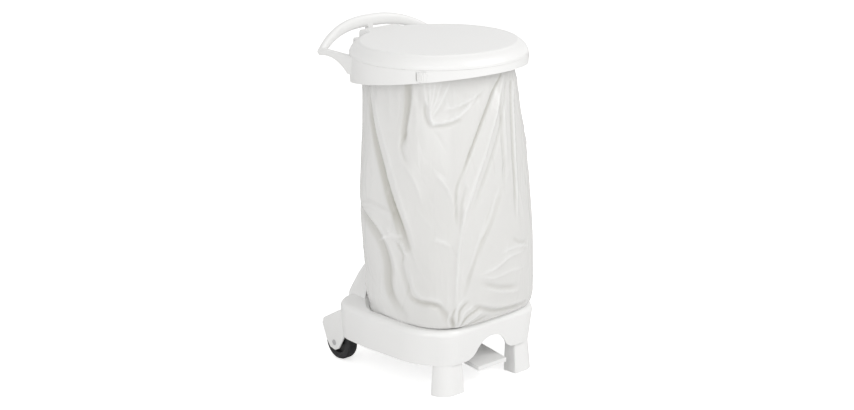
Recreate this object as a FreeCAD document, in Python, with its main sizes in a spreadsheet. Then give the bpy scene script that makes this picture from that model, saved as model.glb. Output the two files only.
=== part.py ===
"""Pedal bin bag holder: a wheeled base tray, a rear column, a bag ring with its bow handle, a lid
that a pedal opens through a lift rod, and the bag itself.

Frame: millimetres, Z up, the front faces -Y and +X is to the right seen from the front. Sizes along Y
are measured from the axis of the bag ring. Each sub-part is then moved along Y by frame_shift, which
puts the origin under the middle of the whole holder, on the floor.
"""
import FreeCAD, Part
import math
import os

import Sketcher

Vector = FreeCAD.Vector
X_AXIS = Vector(1, 0, 0)
Y_AXIS = Vector(0, 1, 0)
Z_AXIS = Vector(0, 0, 1)

# Driving dimensions: name, value and what it measures.
SIZES = (
    ("wall", 4, "general wall of the mouldings"),
    ("running_gap", 0.05, "radial clearance of a shaft in its bore"),
    ("seat_gap", 0.3, "clearance between pieces that sit in each other"),
    # Base tray
    ("tray_half_width", 218, "widest half of the tray at its rim"),
    ("tray_front", 205, "front of the rim, from the ring axis"),
    ("tray_rear", 216, "rear of the rim, from the ring axis"),
    ("tray_bottom", 83, "lower edge of the skirt above the floor"),
    ("tray_top", 181, "top of the rim above the floor"),
    ("side_draft", 6, "how far the sides lean in at the lower edge"),
    ("front_draft", 12, "how far the front leans in at the lower edge"),
    ("rim_round", 16, "radius of the rim's outer edge"),
    ("rim_side", 22, "width of the rim beside the bag"),
    ("rim_front", 13.5, "width of the rim in front of the bag"),
    ("rim_rear", 18, "width of the rim behind the bag"),
    ("floor_top", 140, "top of the tray's floor"),
    ("arch_radius", 57, "radius of the front arch"),
    ("arch_centre", 78, "height of the front arch's centre"),
    ("arch_flare", 89, "half width of the arch where it meets the lower edge"),
    # Throne, the rising rear of the tray
    ("throne_top", 262, "top of the throne, where the column goes in"),
    ("throne_hollow_top", 198, "top of the hollow under the throne"),
    ("bag_seat_radius", 203, "radius of the hollow face behind the bag"),
    # Column
    ("column_half_width", 36, "half width of the column"),
    ("column_front", 206, "front face of the column"),
    ("column_depth", 46, "depth of the column"),
    ("column_foot", 204, "lower end of the column"),
    ("column_top", 815, "upper end of the column"),
    ("column_round", 8, "radius of the column's edges"),
    ("guide_thickness", 12, "thickness of the rod guides"),
    # Front feet
    ("foot_inner", 91.6, "inner side of a foot at the floor, from the centre plane"),
    ("foot_outer", 169.5, "outer side of a foot at the floor"),
    ("foot_front", 193.7, "front of a foot at the floor"),
    ("foot_rear", 145.7, "rear of a foot at the floor"),
    ("foot_round", 42, "radius of a foot's outer front corner"),
    ("foot_taper_side", 6, "how far the outer side leans in at the shoulder"),
    ("foot_taper_front", 6.7, "how far the front leans in at the shoulder"),
    ("foot_small_round", 5, "radius of a foot's other corners"),
    ("plug_inset", 8, "step from a foot's shoulder to its plug"),
    ("foot_screw_x", 120, "foot screw from the centre plane"),
    ("foot_screw_y", 166.3, "foot screw in front of the ring axis"),
    ("foot_sole", 6, "thickness of a foot's sole"),
    ("screw_radius", 2.5, "shank radius of the screws"),
    ("screw_head_radius", 5.5, "head radius of the screws"),
    ("screw_head_height", 3, "head height of the screws"),
    ("screw_length", 24, "shank length of the screws"),
    ("column_screw_x", 20, "column screws from the centre plane"),
    ("column_screw_low", 234, "height of the lower column screws"),
    ("column_screw_high", 796, "height of the upper column screws"),
    # Wheels
    ("wheel_radius", 50, "radius of a wheel"),
    ("wheel_inner", 152, "inner side of a tyre, from the centre plane"),
    ("wheel_width", 32, "width of a tyre"),
    ("wheel_y", 216, "wheel axle behind the ring axis"),
    ("tyre_depth", 13, "radial depth of a tyre"),
    ("axle_radius", 5, "radius of an axle pin"),
    ("axle_head_radius", 8, "radius of an axle pin's head"),
    ("cheek_inner", 141, "inner face of a wheel housing"),
    ("cheek_outer", 195, "outer face of a wheel housing"),
    ("cheek_thickness", 5, "thickness of the cheeks that carry an axle"),
    ("wheel_clearance", 4, "radial room round a wheel in its housing"),
    # Pedal
    ("pivot_y", 20, "pedal pivot behind the ring axis"),
    ("pivot_z", 84, "pedal pivot above the floor"),
    ("pedal_reach", 220.7, "front edge of the tread from the pivot"),
    ("pedal_drop", 23, "tread's front edge below the pivot"),
    ("pedal_half_width", 50, "half width of the tread"),
    ("pedal_thickness", 12, "depth of the tread's edge"),
    ("arm_half_width", 19, "half width of the pedal's arm"),
    ("arm_half_depth", 8, "half depth of the pedal's rear arm"),
    ("shaft_radius", 5, "radius of the pedal shaft"),
    ("lug_thickness", 6, "thickness of a lug under the tray"),
    ("lug_gap", 2, "room between the arm and a lug"),
    # Lift rod
    ("rod_radius", 4, "radius of the lift rod"),
    ("cross_pin_radius", 3, "radius of the cross pins"),
    ("slot_play", 0.5, "half the play of the pedal's fork over its pin"),
    # Ring
    ("ring_radius", 229, "outer radius of the ring's band"),
    ("ring_top", 855.7, "top of the ring"),
    ("ring_wall", 3, "wall of the ring"),
    ("band_mid", 803.5, "lower edge of the band at the ring axis"),
    ("band_slope", 0.1425, "fall of the lower edge towards the rear"),
    ("collar_radius", 189, "outer radius of the collar that takes the bag"),
    ("collar_bottom", 822, "lower edge of the collar"),
    ("bracket_half_width", 80, "half width of the rear bracket"),
    ("bracket_rear", 258, "rear face of the bracket"),
    ("bracket_top", 846, "top of the bracket under the lid's hinge"),
    ("clip_angle", 53, "angle of a film clip from the front"),
    ("clip_width", 26, "width of a film clip"),
    ("clip_bottom", 824, "lower end of a film clip"),
    ("clip_top", 850, "upper end of a film clip"),
    ("clip_slot", 4, "width of the slot round a clip's tongue"),
    # Lid hinge
    ("hinge_y", 240, "hinge axis behind the ring axis"),
    ("hinge_z", 860, "hinge axis above the floor"),
    ("hinge_pin_radius", 3, "radius of the hinge pin"),
    ("knuckle_radius", 8.5, "radius of the lid's knuckle"),
    ("ear_inner", 62, "inner face of an ear of the bracket"),
    ("crank_reach", 23.2, "lift rod in front of the hinge axis"),
    ("crank_angle", 37.5, "angle of the crank below the level, lid closed"),
    ("crank_play", 1.4, "half the play of the crank's slot over its pin"),
    ("crank_inner", 7, "inner face of a crank plate"),
    ("crank_thickness", 5, "thickness of a crank plate"),
    # Handle
    ("arm_x", 193, "centre of a handle arm from the centre plane"),
    ("arm_y", 240, "corner of the handle behind the ring axis"),
    ("arm_top", 858, "top of the handle arms"),
    ("arm_depth", 20, "depth of the handle bar"),
    ("gusset_foot", 808, "lower end of the gusset under an arm"),
    ("bow_rise", 51, "rise of the bow over its ends"),
    ("bow_back", 40, "how far the bow's middle stands back from its ends"),
    ("bow_end_height", 20, "height of the bar at the bow's ends"),
    ("bow_mid_height", 33, "height of the bar at the bow's middle"),
    ("strut_half_width", 8, "half width of the strut under the bow"),
    # Lid
    ("lid_over_ring", 1, "how far the lid's rim stands out over the ring"),
    ("lid_bottom", 856, "lower edge of the lid"),
    ("lid_top", 892, "top of the lid at its middle"),
    ("lid_dome", 2.5, "fall of the plateau from its middle to its edge"),
    ("plateau_radius", 204, "radius of the plateau"),
    ("lid_wall", 3, "wall of the lid"),
    ("block_half_width", 60, "half width of the lid's hinge block"),
    ("block_rear", 250, "rear face of the hinge block"),
    ("block_top", 887, "top of the hinge block"),
    ("block_round", 10, "radius of the hinge block's rear edge"),
    # Bag
    ("film", 2, "thickness that stands for the bag's film"),
    ("bag_top", 846, "top edge of the bag over the collar"),
    ("bag_front", 241, "furthest front of the bag"),
    ("bag_side", 218, "furthest side of the bag"),
)

doc = FreeCAD.newDocument("bin_bag_holder")
sheet = doc.addObject("Spreadsheet::Sheet", "sizes")
for row, (alias, value, meaning) in enumerate(SIZES, start=1):
    sheet.set(f"A{row}", meaning)
    sheet.set(f"B{row}", str(value))
    sheet.setAlias(f"B{row}", alias)
doc.recompute()


class Size:
    """A length that carries its number and the expression that binds it to the sheet."""

    def __init__(self, number, text=None):
        self.number = float(number)
        self.text = text if text else f"({self.number!r})"

    @staticmethod
    def of(value):
        return value if isinstance(value, Size) else Size(value)

    def __float__(self):
        return self.number

    def __add__(self, other):
        other = Size.of(other)
        return Size(self.number + other.number, f"({self.text} + {other.text})")

    def __sub__(self, other):
        other = Size.of(other)
        return Size(self.number - other.number, f"({self.text} - {other.text})")

    def __mul__(self, other):
        other = Size.of(other)
        return Size(self.number * other.number, f"({self.text} * {other.text})")

    def __truediv__(self, other):
        other = Size.of(other)
        return Size(self.number / other.number, f"({self.text} / {other.text})")

    def __neg__(self):
        return Size(-self.number, f"(0 - {self.text})")

    def __rsub__(self, other):
        return Size.of(other) - self

    __radd__ = __add__
    __rmul__ = __mul__


class Sheet:
    """Reads a driving dimension by its name."""

    def __getattr__(self, alias):
        return Size(sheet.get(alias), f"sizes.{alias}")


S = Sheet()


def n(size):
    """The plain number of a size."""
    return float(size)


COLUMN_REAR = S.column_front + S.column_depth
COLUMN_SCREW_SEAT = COLUMN_REAR + S.seat_gap + S.wall
BOW_REAR = S.arm_y + S.bow_back + S.arm_depth / 2
FRAME_SHIFT = (S.bag_front - BOW_REAR) / 2
ROD_Y = S.hinge_y - S.crank_reach
CRANK_DROP = n(S.crank_reach) * math.tan(math.radians(n(S.crank_angle)))
ROD_PIN_Z = n(S.hinge_z) - CRANK_DROP
PEDAL_TILT = math.degrees(math.atan2(n(S.pedal_drop + S.pedal_thickness / 2), n(S.pedal_reach)))

nodes = {}


def bind(thing, prop, size):
    """Set a property to a size and tie it to the sheet."""
    size = Size.of(size)
    if "." not in prop:
        setattr(thing, prop, size.number)
    thing.setExpression(prop, size.text)


def place(thing, x=0, y=0, z=0, axis=Z_AXIS, angle=0):
    """Place a finished sub-part in the holder's frame, with its position tied to the sheet."""
    x, y, z = Size.of(x), Size.of(y) + FRAME_SHIFT, Size.of(z)
    thing.Placement = FreeCAD.Placement(Vector(n(x), n(y), n(z)), FreeCAD.Rotation(axis, angle))
    thing.setExpression("Placement.Base.x", x.text)
    thing.setExpression("Placement.Base.y", y.text)
    thing.setExpression("Placement.Base.z", z.text)


def keep(thing, label):
    """Name a sub-part and list it for writing."""
    thing.Label = label
    nodes[label] = thing
    return thing


def new_body(label):
    """A body that becomes one sub-part."""
    body = doc.addObject("PartDesign::Body", label)
    return keep(body, label)


def new_sketch(body, name, role, offset=0, tilt=None):
    """A sketch on one of the body's origin planes, lifted by offset and turned by tilt."""
    sketch = body.newObject("Sketcher::SketchObject", name)
    plane = next(item for item in body.Origin.OriginFeatures if item.Role == role)
    sketch.AttachmentSupport = (plane, [""])
    sketch.MapMode = "FlatFace"
    turn = FreeCAD.Rotation(X_AXIS, tilt) if tilt else FreeCAD.Rotation()
    offset = Size.of(offset)
    sketch.AttachmentOffset = FreeCAD.Placement(Vector(0, 0, n(offset)), turn)
    sketch.setExpression("AttachmentOffset.Base.z", offset.text)
    return sketch


def hold_point(sketch, index, position, u, v):
    """Tie one point of the sketch to its two distances from the origin."""
    for kind, size in (("DistanceX", Size.of(u)), ("DistanceY", Size.of(v))):
        number = sketch.addConstraint(Sketcher.Constraint(kind, -1, 1, index, position, size.number))
        sketch.setExpression(f"Constraints[{number}]", size.text)


def hold_radius(sketch, index, radius):
    """Tie the radius of an arc or circle."""
    radius = Size.of(radius)
    number = sketch.addConstraint(Sketcher.Constraint("Radius", index, radius.number))
    sketch.setExpression(f"Constraints[{number}]", radius.text)


def polygon_sketch(body, name, role, corners, offset=0, tilt=None):
    """A closed outline of straight lines through the corners."""
    sketch = new_sketch(body, name, role, offset, tilt)
    flat = [Vector(n(u), n(v), 0) for u, v in corners]
    for start, end in zip(flat, flat[1:] + flat[:1]):
        sketch.addGeometry(Part.LineSegment(start, end), False)
    for index in range(len(flat)):
        following = (index + 1) % len(flat)
        sketch.addConstraint(Sketcher.Constraint("Coincident", index, 2, following, 1))
    for index, (u, v) in enumerate(corners):
        hold_point(sketch, index, 1, u, v)
    return sketch


def circle_sketch(body, name, role, circles, offset=0):
    """Circles given as centre u, centre v and radius."""
    sketch = new_sketch(body, name, role, offset)
    for u, v, radius in circles:
        index = sketch.addGeometry(Part.Circle(Vector(n(u), n(v), 0), Z_AXIS, n(radius)), False)
        hold_point(sketch, index, 3, u, v)
        hold_radius(sketch, index, radius)
    return sketch


def rounded_sketch(body, name, role, low, high, radii, offset=0):
    """A rectangle from low to high; radii are those of its corners, from low-low anticlockwise."""
    sketch = new_sketch(body, name, role, offset)
    (u0, v0), (u1, v1) = low, high
    r0, r1, r2, r3 = radii
    ends = ((u0 + r0, v0), (u1 - r1, v0), (u1, v0 + r1), (u1, v1 - r2),
            (u1 - r2, v1), (u0 + r3, v1), (u0, v1 - r3), (u0, v0 + r0))
    flat = [Vector(n(u), n(v), 0) for u, v in ends]
    centres = ((u1 - r1, v0 + r1), (u1 - r2, v1 - r2), (u0 + r3, v1 - r3), (u0 + r0, v0 + r0))
    for side in range(4):
        start, end = flat[2 * side], flat[2 * side + 1]
        sketch.addGeometry(Part.LineSegment(start, end), False)
        centre = Vector(n(centres[side][0]), n(centres[side][1]), 0)
        first = math.radians(-90 + 90 * side)
        radius = n((r1, r2, r3, r0)[side])
        ring = Part.Circle(centre, Z_AXIS, radius)
        sketch.addGeometry(Part.ArcOfCircle(ring, first, first + math.pi / 2), False)
    for index in range(8):
        following = (index + 1) % 8
        sketch.addConstraint(Sketcher.Constraint("Coincident", index, 2, following, 1))
    for side in range(4):
        hold_point(sketch, 2 * side, 1, *ends[2 * side])
        hold_point(sketch, 2 * side, 2, *ends[2 * side + 1])
        hold_radius(sketch, 2 * side + 1, (r1, r2, r3, r0)[side])
    return sketch


def add_pad(body, sketch, length, both=False, backwards=False):
    """Grow the body along the sketch's normal."""
    pad = body.newObject("PartDesign::Pad", f"{sketch.Name}_pad")
    pad.Profile = sketch
    bind(pad, "Length", length)
    pad.Midplane = both
    pad.Reversed = backwards
    return pad


def add_pocket(body, sketch, length=None, both=False, backwards=False):
    """Cut the body against the sketch's normal, through everything when no length is given."""
    pocket = body.newObject("PartDesign::Pocket", f"{sketch.Name}_pocket")
    pocket.Profile = sketch
    if length is None:
        pocket.Type = "ThroughAll"
    else:
        bind(pocket, "Length", length)
    pocket.Midplane = both
    pocket.Reversed = backwards
    return pocket


def add_revolution(body, sketch, axis_name="V_Axis"):
    """Turn the sketch a full round about one of its own axes."""
    turned = body.newObject("PartDesign::Revolution", f"{sketch.Name}_turned")
    turned.Profile = sketch
    turned.ReferenceAxis = (sketch, [axis_name])
    turned.Angle = 360
    return turned


def cylinder(radius, length, start, axis):
    """A round solid from a start point along an axis."""
    return Part.makeCylinder(n(radius), n(length), start, axis)


def box(low, high):
    """A block between two corners."""
    size = [n(b) - n(a) for a, b in zip(low, high)]
    return Part.makeBox(size[0], size[1], size[2], Vector(*[n(a) for a in low]))


def prism(points, direction):
    """A solid from a flat closed outline of straight lines."""
    wire = Part.makePolygon(points + points[:1])
    return Part.Face(wire).extrude(direction)


def feature(label, shape):
    """A sub-part whose shape is worked out from the sheet's sizes."""
    thing = doc.addObject("Part::Feature", label)
    thing.Shape = shape.removeSplitter()
    place(thing)
    return keep(thing, label)


# Base tray. Right half of the rim's plan from front to rear: x, y and the radius of the corner.
RIM_HALF, RIM_FRONT, RIM_REAR = n(S.tray_half_width), -n(S.tray_front), n(S.tray_rear)
RIM = (
    (RIM_HALF - 68, RIM_FRONT, 70),
    (RIM_HALF - 11, RIM_FRONT + 80, 150),
    (RIM_HALF + 1, 60, 400),
    (RIM_HALF - 7, RIM_REAR - 2, 82),
    (RIM_HALF - 105, RIM_REAR - 2, 14),
    (RIM_HALF - 115, RIM_REAR + 33, 28),
)

# Rear corner of the recess, cut across so that it stays round the bag.
RECESS_REAR = ((RIM_HALF - 2, 96, 110), (RIM_HALF - 92, RIM_REAR - 2, 110))


def closed_plan(half):
    """The whole plan, anticlockwise, from its right half."""
    left = [(-x, y, radius) for x, y, radius in reversed(half)]
    return list(half) + left


def inset_plan(plan, side, front, rear):
    """The plan drawn in by its own amounts at the sides, the front and the rear."""
    count = len(plan)
    lines = []
    for index in range(count):
        x0, y0, _ = plan[index]
        x1, y1, _ = plan[(index + 1) % count]
        length = math.hypot(x1 - x0, y1 - y0)
        normal_x, normal_y = (y0 - y1) / length, (x1 - x0) / length
        end = front if normal_y > 0 else rear
        step = side * abs(normal_x) + end * abs(normal_y)
        lines.append((normal_x, normal_y, normal_x * x0 + normal_y * y0 + step))
    moved = []
    for index in range(count):
        a, b, c = lines[index - 1]
        d, e, f = lines[index]
        det = a * e - b * d
        x, y = (c * e - b * f) / det, (a * f - c * d) / det
        radius = plan[index][2] - math.copysign(side, det)
        moved.append((x, y, radius))
    return moved


def plan_wire(plan, z):
    """Straight edges joined by tangent arcs at a height."""
    count = len(plan)
    starts, arcs = [], []
    for index in range(count):
        x, y, radius = plan[index]
        before, after = plan[index - 1], plan[(index + 1) % count]
        corner = Vector(x, y, z)
        back = (Vector(before[0], before[1], z) - corner).normalize()
        on = (Vector(after[0], after[1], z) - corner).normalize()
        half = back.getAngle(on) / 2
        reach = radius / math.tan(half)
        middle = (back + on).normalize()
        mid = corner + middle * (radius / math.sin(half) - radius)
        first, last = corner + back * reach, corner + on * reach
        starts.append((first, last))
        arcs.append(Part.Arc(first, mid, last).toShape())
    edges = []
    for index in range(count):
        edges.append(arcs[index])
        last, following = starts[index][1], starts[(index + 1) % count][0]
        edges.append(Part.LineSegment(last, following).toShape())
    return Part.Wire(edges)


def tray_plan(inset, z):
    """Plan of the tray at a height, with its draft, drawn in by inset."""
    lean = (n(S.tray_top) - z) / n(S.tray_top - S.tray_bottom)
    side = inset + lean * n(S.side_draft)
    front = inset + lean * n(S.front_draft)
    return inset_plan(closed_plan(RIM), side, front, side)


def tray_form(inset, bottom, top, rounding):
    """The drafted body of the tray, drawn in by inset, between two heights, with its rim rounded."""
    wires = [plan_wire(tray_plan(inset, z), z) for z in (bottom, top)]
    form = Part.makeLoft(wires, True, True)
    rim = [edge for edge in form.Edges if edge.BoundBox.ZMin > top - 0.01]
    return form.makeFillet(rounding, rim)


def recess_form(outset, bottom, top):
    """The hollow that holds the bag's foot, grown by outset."""
    rear = n(S.rim_rear)
    half = list(RIM[:2]) + list(RECESS_REAR)
    plan = inset_plan(closed_plan(half), n(S.rim_side), n(S.rim_front), rear)
    plan = inset_plan(plan, -outset, -outset, -outset)
    form = Part.Face(plan_wire(plan, bottom)).extrude(Vector(0, 0, top - bottom))
    lower = [edge for edge in form.Edges if edge.BoundBox.ZMax < bottom + 0.01]
    return form.makeFillet(n(S.rim_round) / 2 + outset, lower)


# Throne sections above the rim: height, half width, rear and corner radius.
THRONE_REAR = n(COLUMN_REAR + S.seat_gap + S.wall) + 1.7
THRONE = (
    (150, 128, THRONE_REAR - 21, 52),
    (181, 140, THRONE_REAR - 11, 54),
    (192, 129, THRONE_REAR - 8, 54),
    (210, 104, THRONE_REAR - 1, 50),
    (236, 66, THRONE_REAR, 34),
    (n(S.throne_top), n(S.column_half_width) + 11, THRONE_REAR + 1, 14),
)
THRONE_FRONT = 110


def throne_wire(z, half_width, rear, corner, inset):
    """One D-shaped section of the throne."""
    w, r, c = half_width - inset, rear - inset, corner - min(inset, corner / 2)
    k = c * (1 - math.sqrt(0.5))
    p = [Vector(-w, THRONE_FRONT, z), Vector(w, THRONE_FRONT, z), Vector(w, r - c, z),
         Vector(w - k, r - k, z), Vector(w - c, r, z), Vector(c - w, r, z),
         Vector(k - w, r - k, z), Vector(-w, r - c, z)]
    return Part.Wire([Part.LineSegment(p[0], p[1]).toShape(),
                      Part.LineSegment(p[1], p[2]).toShape(),
                      Part.Arc(p[2], p[3], p[4]).toShape(),
                      Part.LineSegment(p[4], p[5]).toShape(),
                      Part.Arc(p[5], p[6], p[7]).toShape(),
                      Part.LineSegment(p[7], p[0]).toShape()])


def throne_form(inset):
    """The flaring body of the throne, drawn in by inset."""
    return Part.makeLoft([throne_wire(*section, inset) for section in THRONE], True)


def column_box(gap, bottom, top):
    """The room of the column, grown by a gap, between two heights."""
    half = n(S.column_half_width) + gap
    return box((-half, n(S.column_front) - gap, bottom), (half, n(COLUMN_REAR) + gap, top))


def housing_face(x):
    """Outline of a wheel housing in its own plane."""
    y, z = n(S.wheel_y), n(S.wheel_radius)
    outline = [Vector(x, y - 62, z + 33), Vector(x, y - 46, z + 33), Vector(x, y - 18, z - 14),
               Vector(x, y - 2, z - 22), Vector(x, y + 18, z - 18), Vector(x, y + 34, z + 2),
               Vector(x, y + 52, z + 44), Vector(x, y + 46, z + 60), Vector(x, y - 20, z + 98),
               Vector(x, y - 62, z + 98)]
    return outline


def wheel_housing(side):
    """One housing: two cheeks and a roof over the wheel, before the wheel's room is cut."""
    inner, outer = n(S.cheek_inner), n(S.cheek_outer)
    solid = prism(housing_face(side * inner), Vector(side * (outer - inner), 0, 0))
    along = [edge for edge in solid.Edges if abs(edge.tangentAt(edge.FirstParameter).x) > 0.9]
    low = [edge for edge in along if edge.CenterOfMass.y > n(S.wheel_y) - 50]
    solid = solid.makeFillet(8, low)
    rim = [edge for edge in solid.Edges if abs(edge.BoundBox.Center.x) > outer - 0.01]
    return solid.makeFillet(3, rim)


def wheel_room(side):
    """The room for a wheel, open below and behind."""
    inner = n(S.cheek_inner + S.cheek_thickness)
    outer = n(S.cheek_outer - S.cheek_thickness)
    y, z = n(S.wheel_y), n(S.wheel_radius)
    reach = n(S.wheel_radius + S.wheel_clearance)
    start = Vector(side * inner, y, z)
    room = cylinder(reach, outer - inner, start, X_AXIS * side)
    low_x, high_x = sorted((side * inner, side * outer))
    return room.fuse(box((low_x, y - reach, -10), (high_x, y + reach, z)))


def shaft_lug(side):
    """One lug under the floor that carries the pedal shaft."""
    inner = n(S.arm_half_width + S.lug_gap)
    low_x, high_x = sorted((side * inner, side * (inner + n(S.lug_thickness))))
    y, z = n(S.pivot_y), n(S.pivot_z)
    lug = box((low_x, y - 12, z), (high_x, y + 12, n(S.floor_top) - 1))
    return lug.fuse(cylinder(12, n(S.lug_thickness), Vector(low_x, y, z), X_AXIS))


def arch_cutter():
    """The front arch: a half round whose feet flare out to the lower edge."""
    radius, centre, reach = n(S.arch_radius), n(S.arch_centre), n(S.arch_flare)
    edge = n(S.tray_bottom)
    lift = edge - centre
    flare = (reach ** 2 + lift ** 2 - radius ** 2) / (2 * (radius - lift))
    away = math.hypot(reach, lift + flare)
    touch_x = reach * radius / away
    touch_z = centre + (lift + flare) * radius / away
    half = math.atan2(reach, lift + flare) / 2
    mid_x = reach - flare * math.sin(half)
    mid_z = edge + flare * (1 - math.cos(half))
    y = -n(S.tray_front) - 20
    below = edge - 30
    right = [Vector(reach, y, edge), Vector(mid_x, y, mid_z), Vector(touch_x, y, touch_z)]
    left = [Vector(-point.x, y, point.z) for point in reversed(right)]
    wire = Part.Wire([
        Part.LineSegment(Vector(-reach, y, below), Vector(reach, y, below)).toShape(),
        Part.LineSegment(Vector(reach, y, below), right[0]).toShape(),
        Part.Arc(*right).toShape(),
        Part.Arc(right[2], Vector(0, y, centre + radius), left[0]).toShape(),
        Part.Arc(*left).toShape(),
        Part.LineSegment(left[2], Vector(-reach, y, below)).toShape()])
    return Part.Face(wire).extrude(Vector(0, 20 + 60, 0))


def foot_screw_places(z):
    """Where the foot screws stand at a height, right foot first."""
    x, y = n(S.foot_screw_x), -n(S.foot_screw_y)
    return [Vector(x, y, z), Vector(-x, y, z)]


def column_screw_places(y, z):
    """Where a pair of column screws stands on the plane at y."""
    x = n(S.column_screw_x)
    return [Vector(-x, n(y), n(z)), Vector(x, n(y), n(z))]


def make_base_tray():
    """The tray: skirt, rim, recessed floor, throne, wheel housings and shaft lugs in one moulding."""
    wall, top, bottom = n(S.wall), n(S.tray_top), n(S.tray_bottom)
    outer = tray_form(0, bottom, top, n(S.rim_round))
    hollow = tray_form(wall, bottom - 10, top - wall, n(S.rim_round) - wall)
    recess = recess_form(0, n(S.floor_top), top + 1)
    tub = recess_form(wall, n(S.floor_top) - wall, top + 1)
    seat = cylinder(S.bag_seat_radius, 300, Vector(0, 0, n(S.floor_top)), Z_AXIS)
    seat_back = cylinder(S.bag_seat_radius + S.wall, 300, Vector(0, 0, top - 3 * wall), Z_AXIS)
    inside = throne_form(wall).common(box((-300, 0, 0), (300, 400, n(S.throne_hollow_top))))
    inside = inside.cut(seat_back).cut(tub)
    body = outer.cut(recess).fuse(throne_form(0).cut(seat))
    body = body.cut(hollow.cut(tub)).cut(inside)
    for side in (1, -1):
        body = body.fuse(wheel_housing(side).cut(recess))
    for side in (1, -1):
        body = body.cut(wheel_room(side))
        body = body.fuse(shaft_lug(side))
    body = body.cut(arch_cutter())
    body = body.cut(column_box(n(S.seat_gap), n(S.column_foot), 300))
    well = box((-20, n(ROD_Y) - 8, n(S.throne_hollow_top) - 20), (20, n(ROD_Y) + 18, 300))
    body = body.cut(well)
    pivot = Vector(-60, n(S.pivot_y), n(S.pivot_z))
    body = body.cut(cylinder(S.shaft_radius + S.running_gap, 120, pivot, X_AXIS))
    for side in (1, -1):
        axle = Vector(side * (n(S.cheek_inner) - 10), n(S.wheel_y), n(S.wheel_radius))
        body = body.cut(cylinder(S.axle_radius + S.running_gap, 80, axle, X_AXIS * side))
        head = Vector(side * (n(S.cheek_outer) - 2.5), n(S.wheel_y), n(S.wheel_radius))
        body = body.cut(cylinder(S.axle_head_radius + S.seat_gap, 10, head, X_AXIS * side))
    head_room = S.screw_head_radius + 0.5
    for seat in foot_screw_places(n(S.floor_top - S.wall)):
        below = seat - Z_AXIS * wall
        body = body.fuse(cylinder(head_room + 3, 1.5 * wall, below, Z_AXIS))
        body = body.cut(cylinder(head_room, 2 * wall, seat, Z_AXIS))
        body = body.cut(cylinder(S.screw_radius + S.running_gap, 3 * wall, below, Z_AXIS))
    for seat in column_screw_places(COLUMN_SCREW_SEAT, S.column_screw_low):
        body = body.cut(cylinder(head_room, 20, seat, Y_AXIS))
        body = body.cut(cylinder(S.screw_radius + S.running_gap, 20, seat - Y_AXIS * 10, Y_AXIS))
    return feature("base_tray", body)


def make_foot(side, label):
    """A hollow front foot with a shoulder that carries the skirt and a plug up to the floor."""
    body = new_body(label)
    radii_outer = (S.foot_small_round, S.foot_round, S.foot_small_round, S.foot_small_round)
    if side < 0:
        radii_outer = (S.foot_round, S.foot_small_round, S.foot_small_round, S.foot_small_round)

    def section(name, z, inner, outer, front, rear, share=1.0):
        low_u, high_u = (inner, outer) if side > 0 else (-outer, -inner)
        radii = [radius * share for radius in radii_outer]
        return rounded_sketch(body, name, "XY_Plane", (low_u, -front), (high_u, -rear), radii, z)

    shoulder = S.tray_bottom - S.seat_gap
    sole = section(f"{label}_sole", Size(0), S.foot_inner, S.foot_outer, S.foot_front, S.foot_rear)
    neck = section(f"{label}_neck", shoulder, S.foot_inner + 2, S.foot_outer - S.foot_taper_side,
                   S.foot_front - S.foot_taper_front, S.foot_rear + 1, 0.9)
    leg = body.newObject("PartDesign::AdditiveLoft", f"{label}_leg")
    leg.Profile = sole
    leg.Sections = [neck]
    leg.Ruled = True
    inset = S.plug_inset
    plug = section(f"{label}_plug", shoulder, S.foot_inner + inset,
                   S.foot_outer - S.foot_taper_side - inset,
                   S.foot_front - S.foot_taper_front - inset, S.foot_rear + inset, 0.45)
    add_pad(body, plug, S.floor_top - S.wall - S.seat_gap - shoulder)
    inset = inset + 3
    core = section(f"{label}_core", S.foot_sole, S.foot_inner + inset,
                   S.foot_outer - S.foot_taper_side - inset,
                   S.foot_front - S.foot_taper_front - inset, S.foot_rear + inset, 0.32)
    add_pocket(body, core, S.floor_top, backwards=True)
    boss_u = S.foot_screw_x if side > 0 else -S.foot_screw_x
    boss_v = -S.foot_screw_y
    boss = circle_sketch(body, f"{label}_boss", "XY_Plane", [(boss_u, boss_v, 6.5)], S.foot_sole)
    boss_top = S.floor_top - S.wall * 2 - S.seat_gap
    add_pad(body, boss, boss_top - S.foot_sole)
    bore = circle_sketch(body, f"{label}_bore", "XY_Plane",
                         [(boss_u, boss_v, S.screw_radius + S.running_gap)], boss_top)
    add_pocket(body, bore, S.screw_length)
    place(body)
    return body


def screw(head_radius, head_height, shank_radius, length):
    """A plain pan screw along -Z with its seat at the origin."""
    head = Part.makeCylinder(head_radius, head_height)
    top = [edge for edge in head.Edges if edge.BoundBox.ZMin > head_height - 0.01]
    head = head.makeFillet(head_height * 0.4, top)
    return head.fuse(Part.makeCylinder(shank_radius, length, Vector(0, 0, -length)))


def make_screws(label, places, axis, angle):
    """A group of like screws, one solid at each place."""
    shapes = []
    for place_at in places:
        one = screw(n(S.screw_head_radius), n(S.screw_head_height), n(S.screw_radius),
                    n(S.screw_length))
        one.Placement = FreeCAD.Placement(place_at, FreeCAD.Rotation(axis, angle))
        shapes.append(one)
    thing = doc.addObject("Part::Feature", label)
    thing.Shape = Part.makeCompound(shapes)
    place(thing)
    return keep(thing, label)


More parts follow.
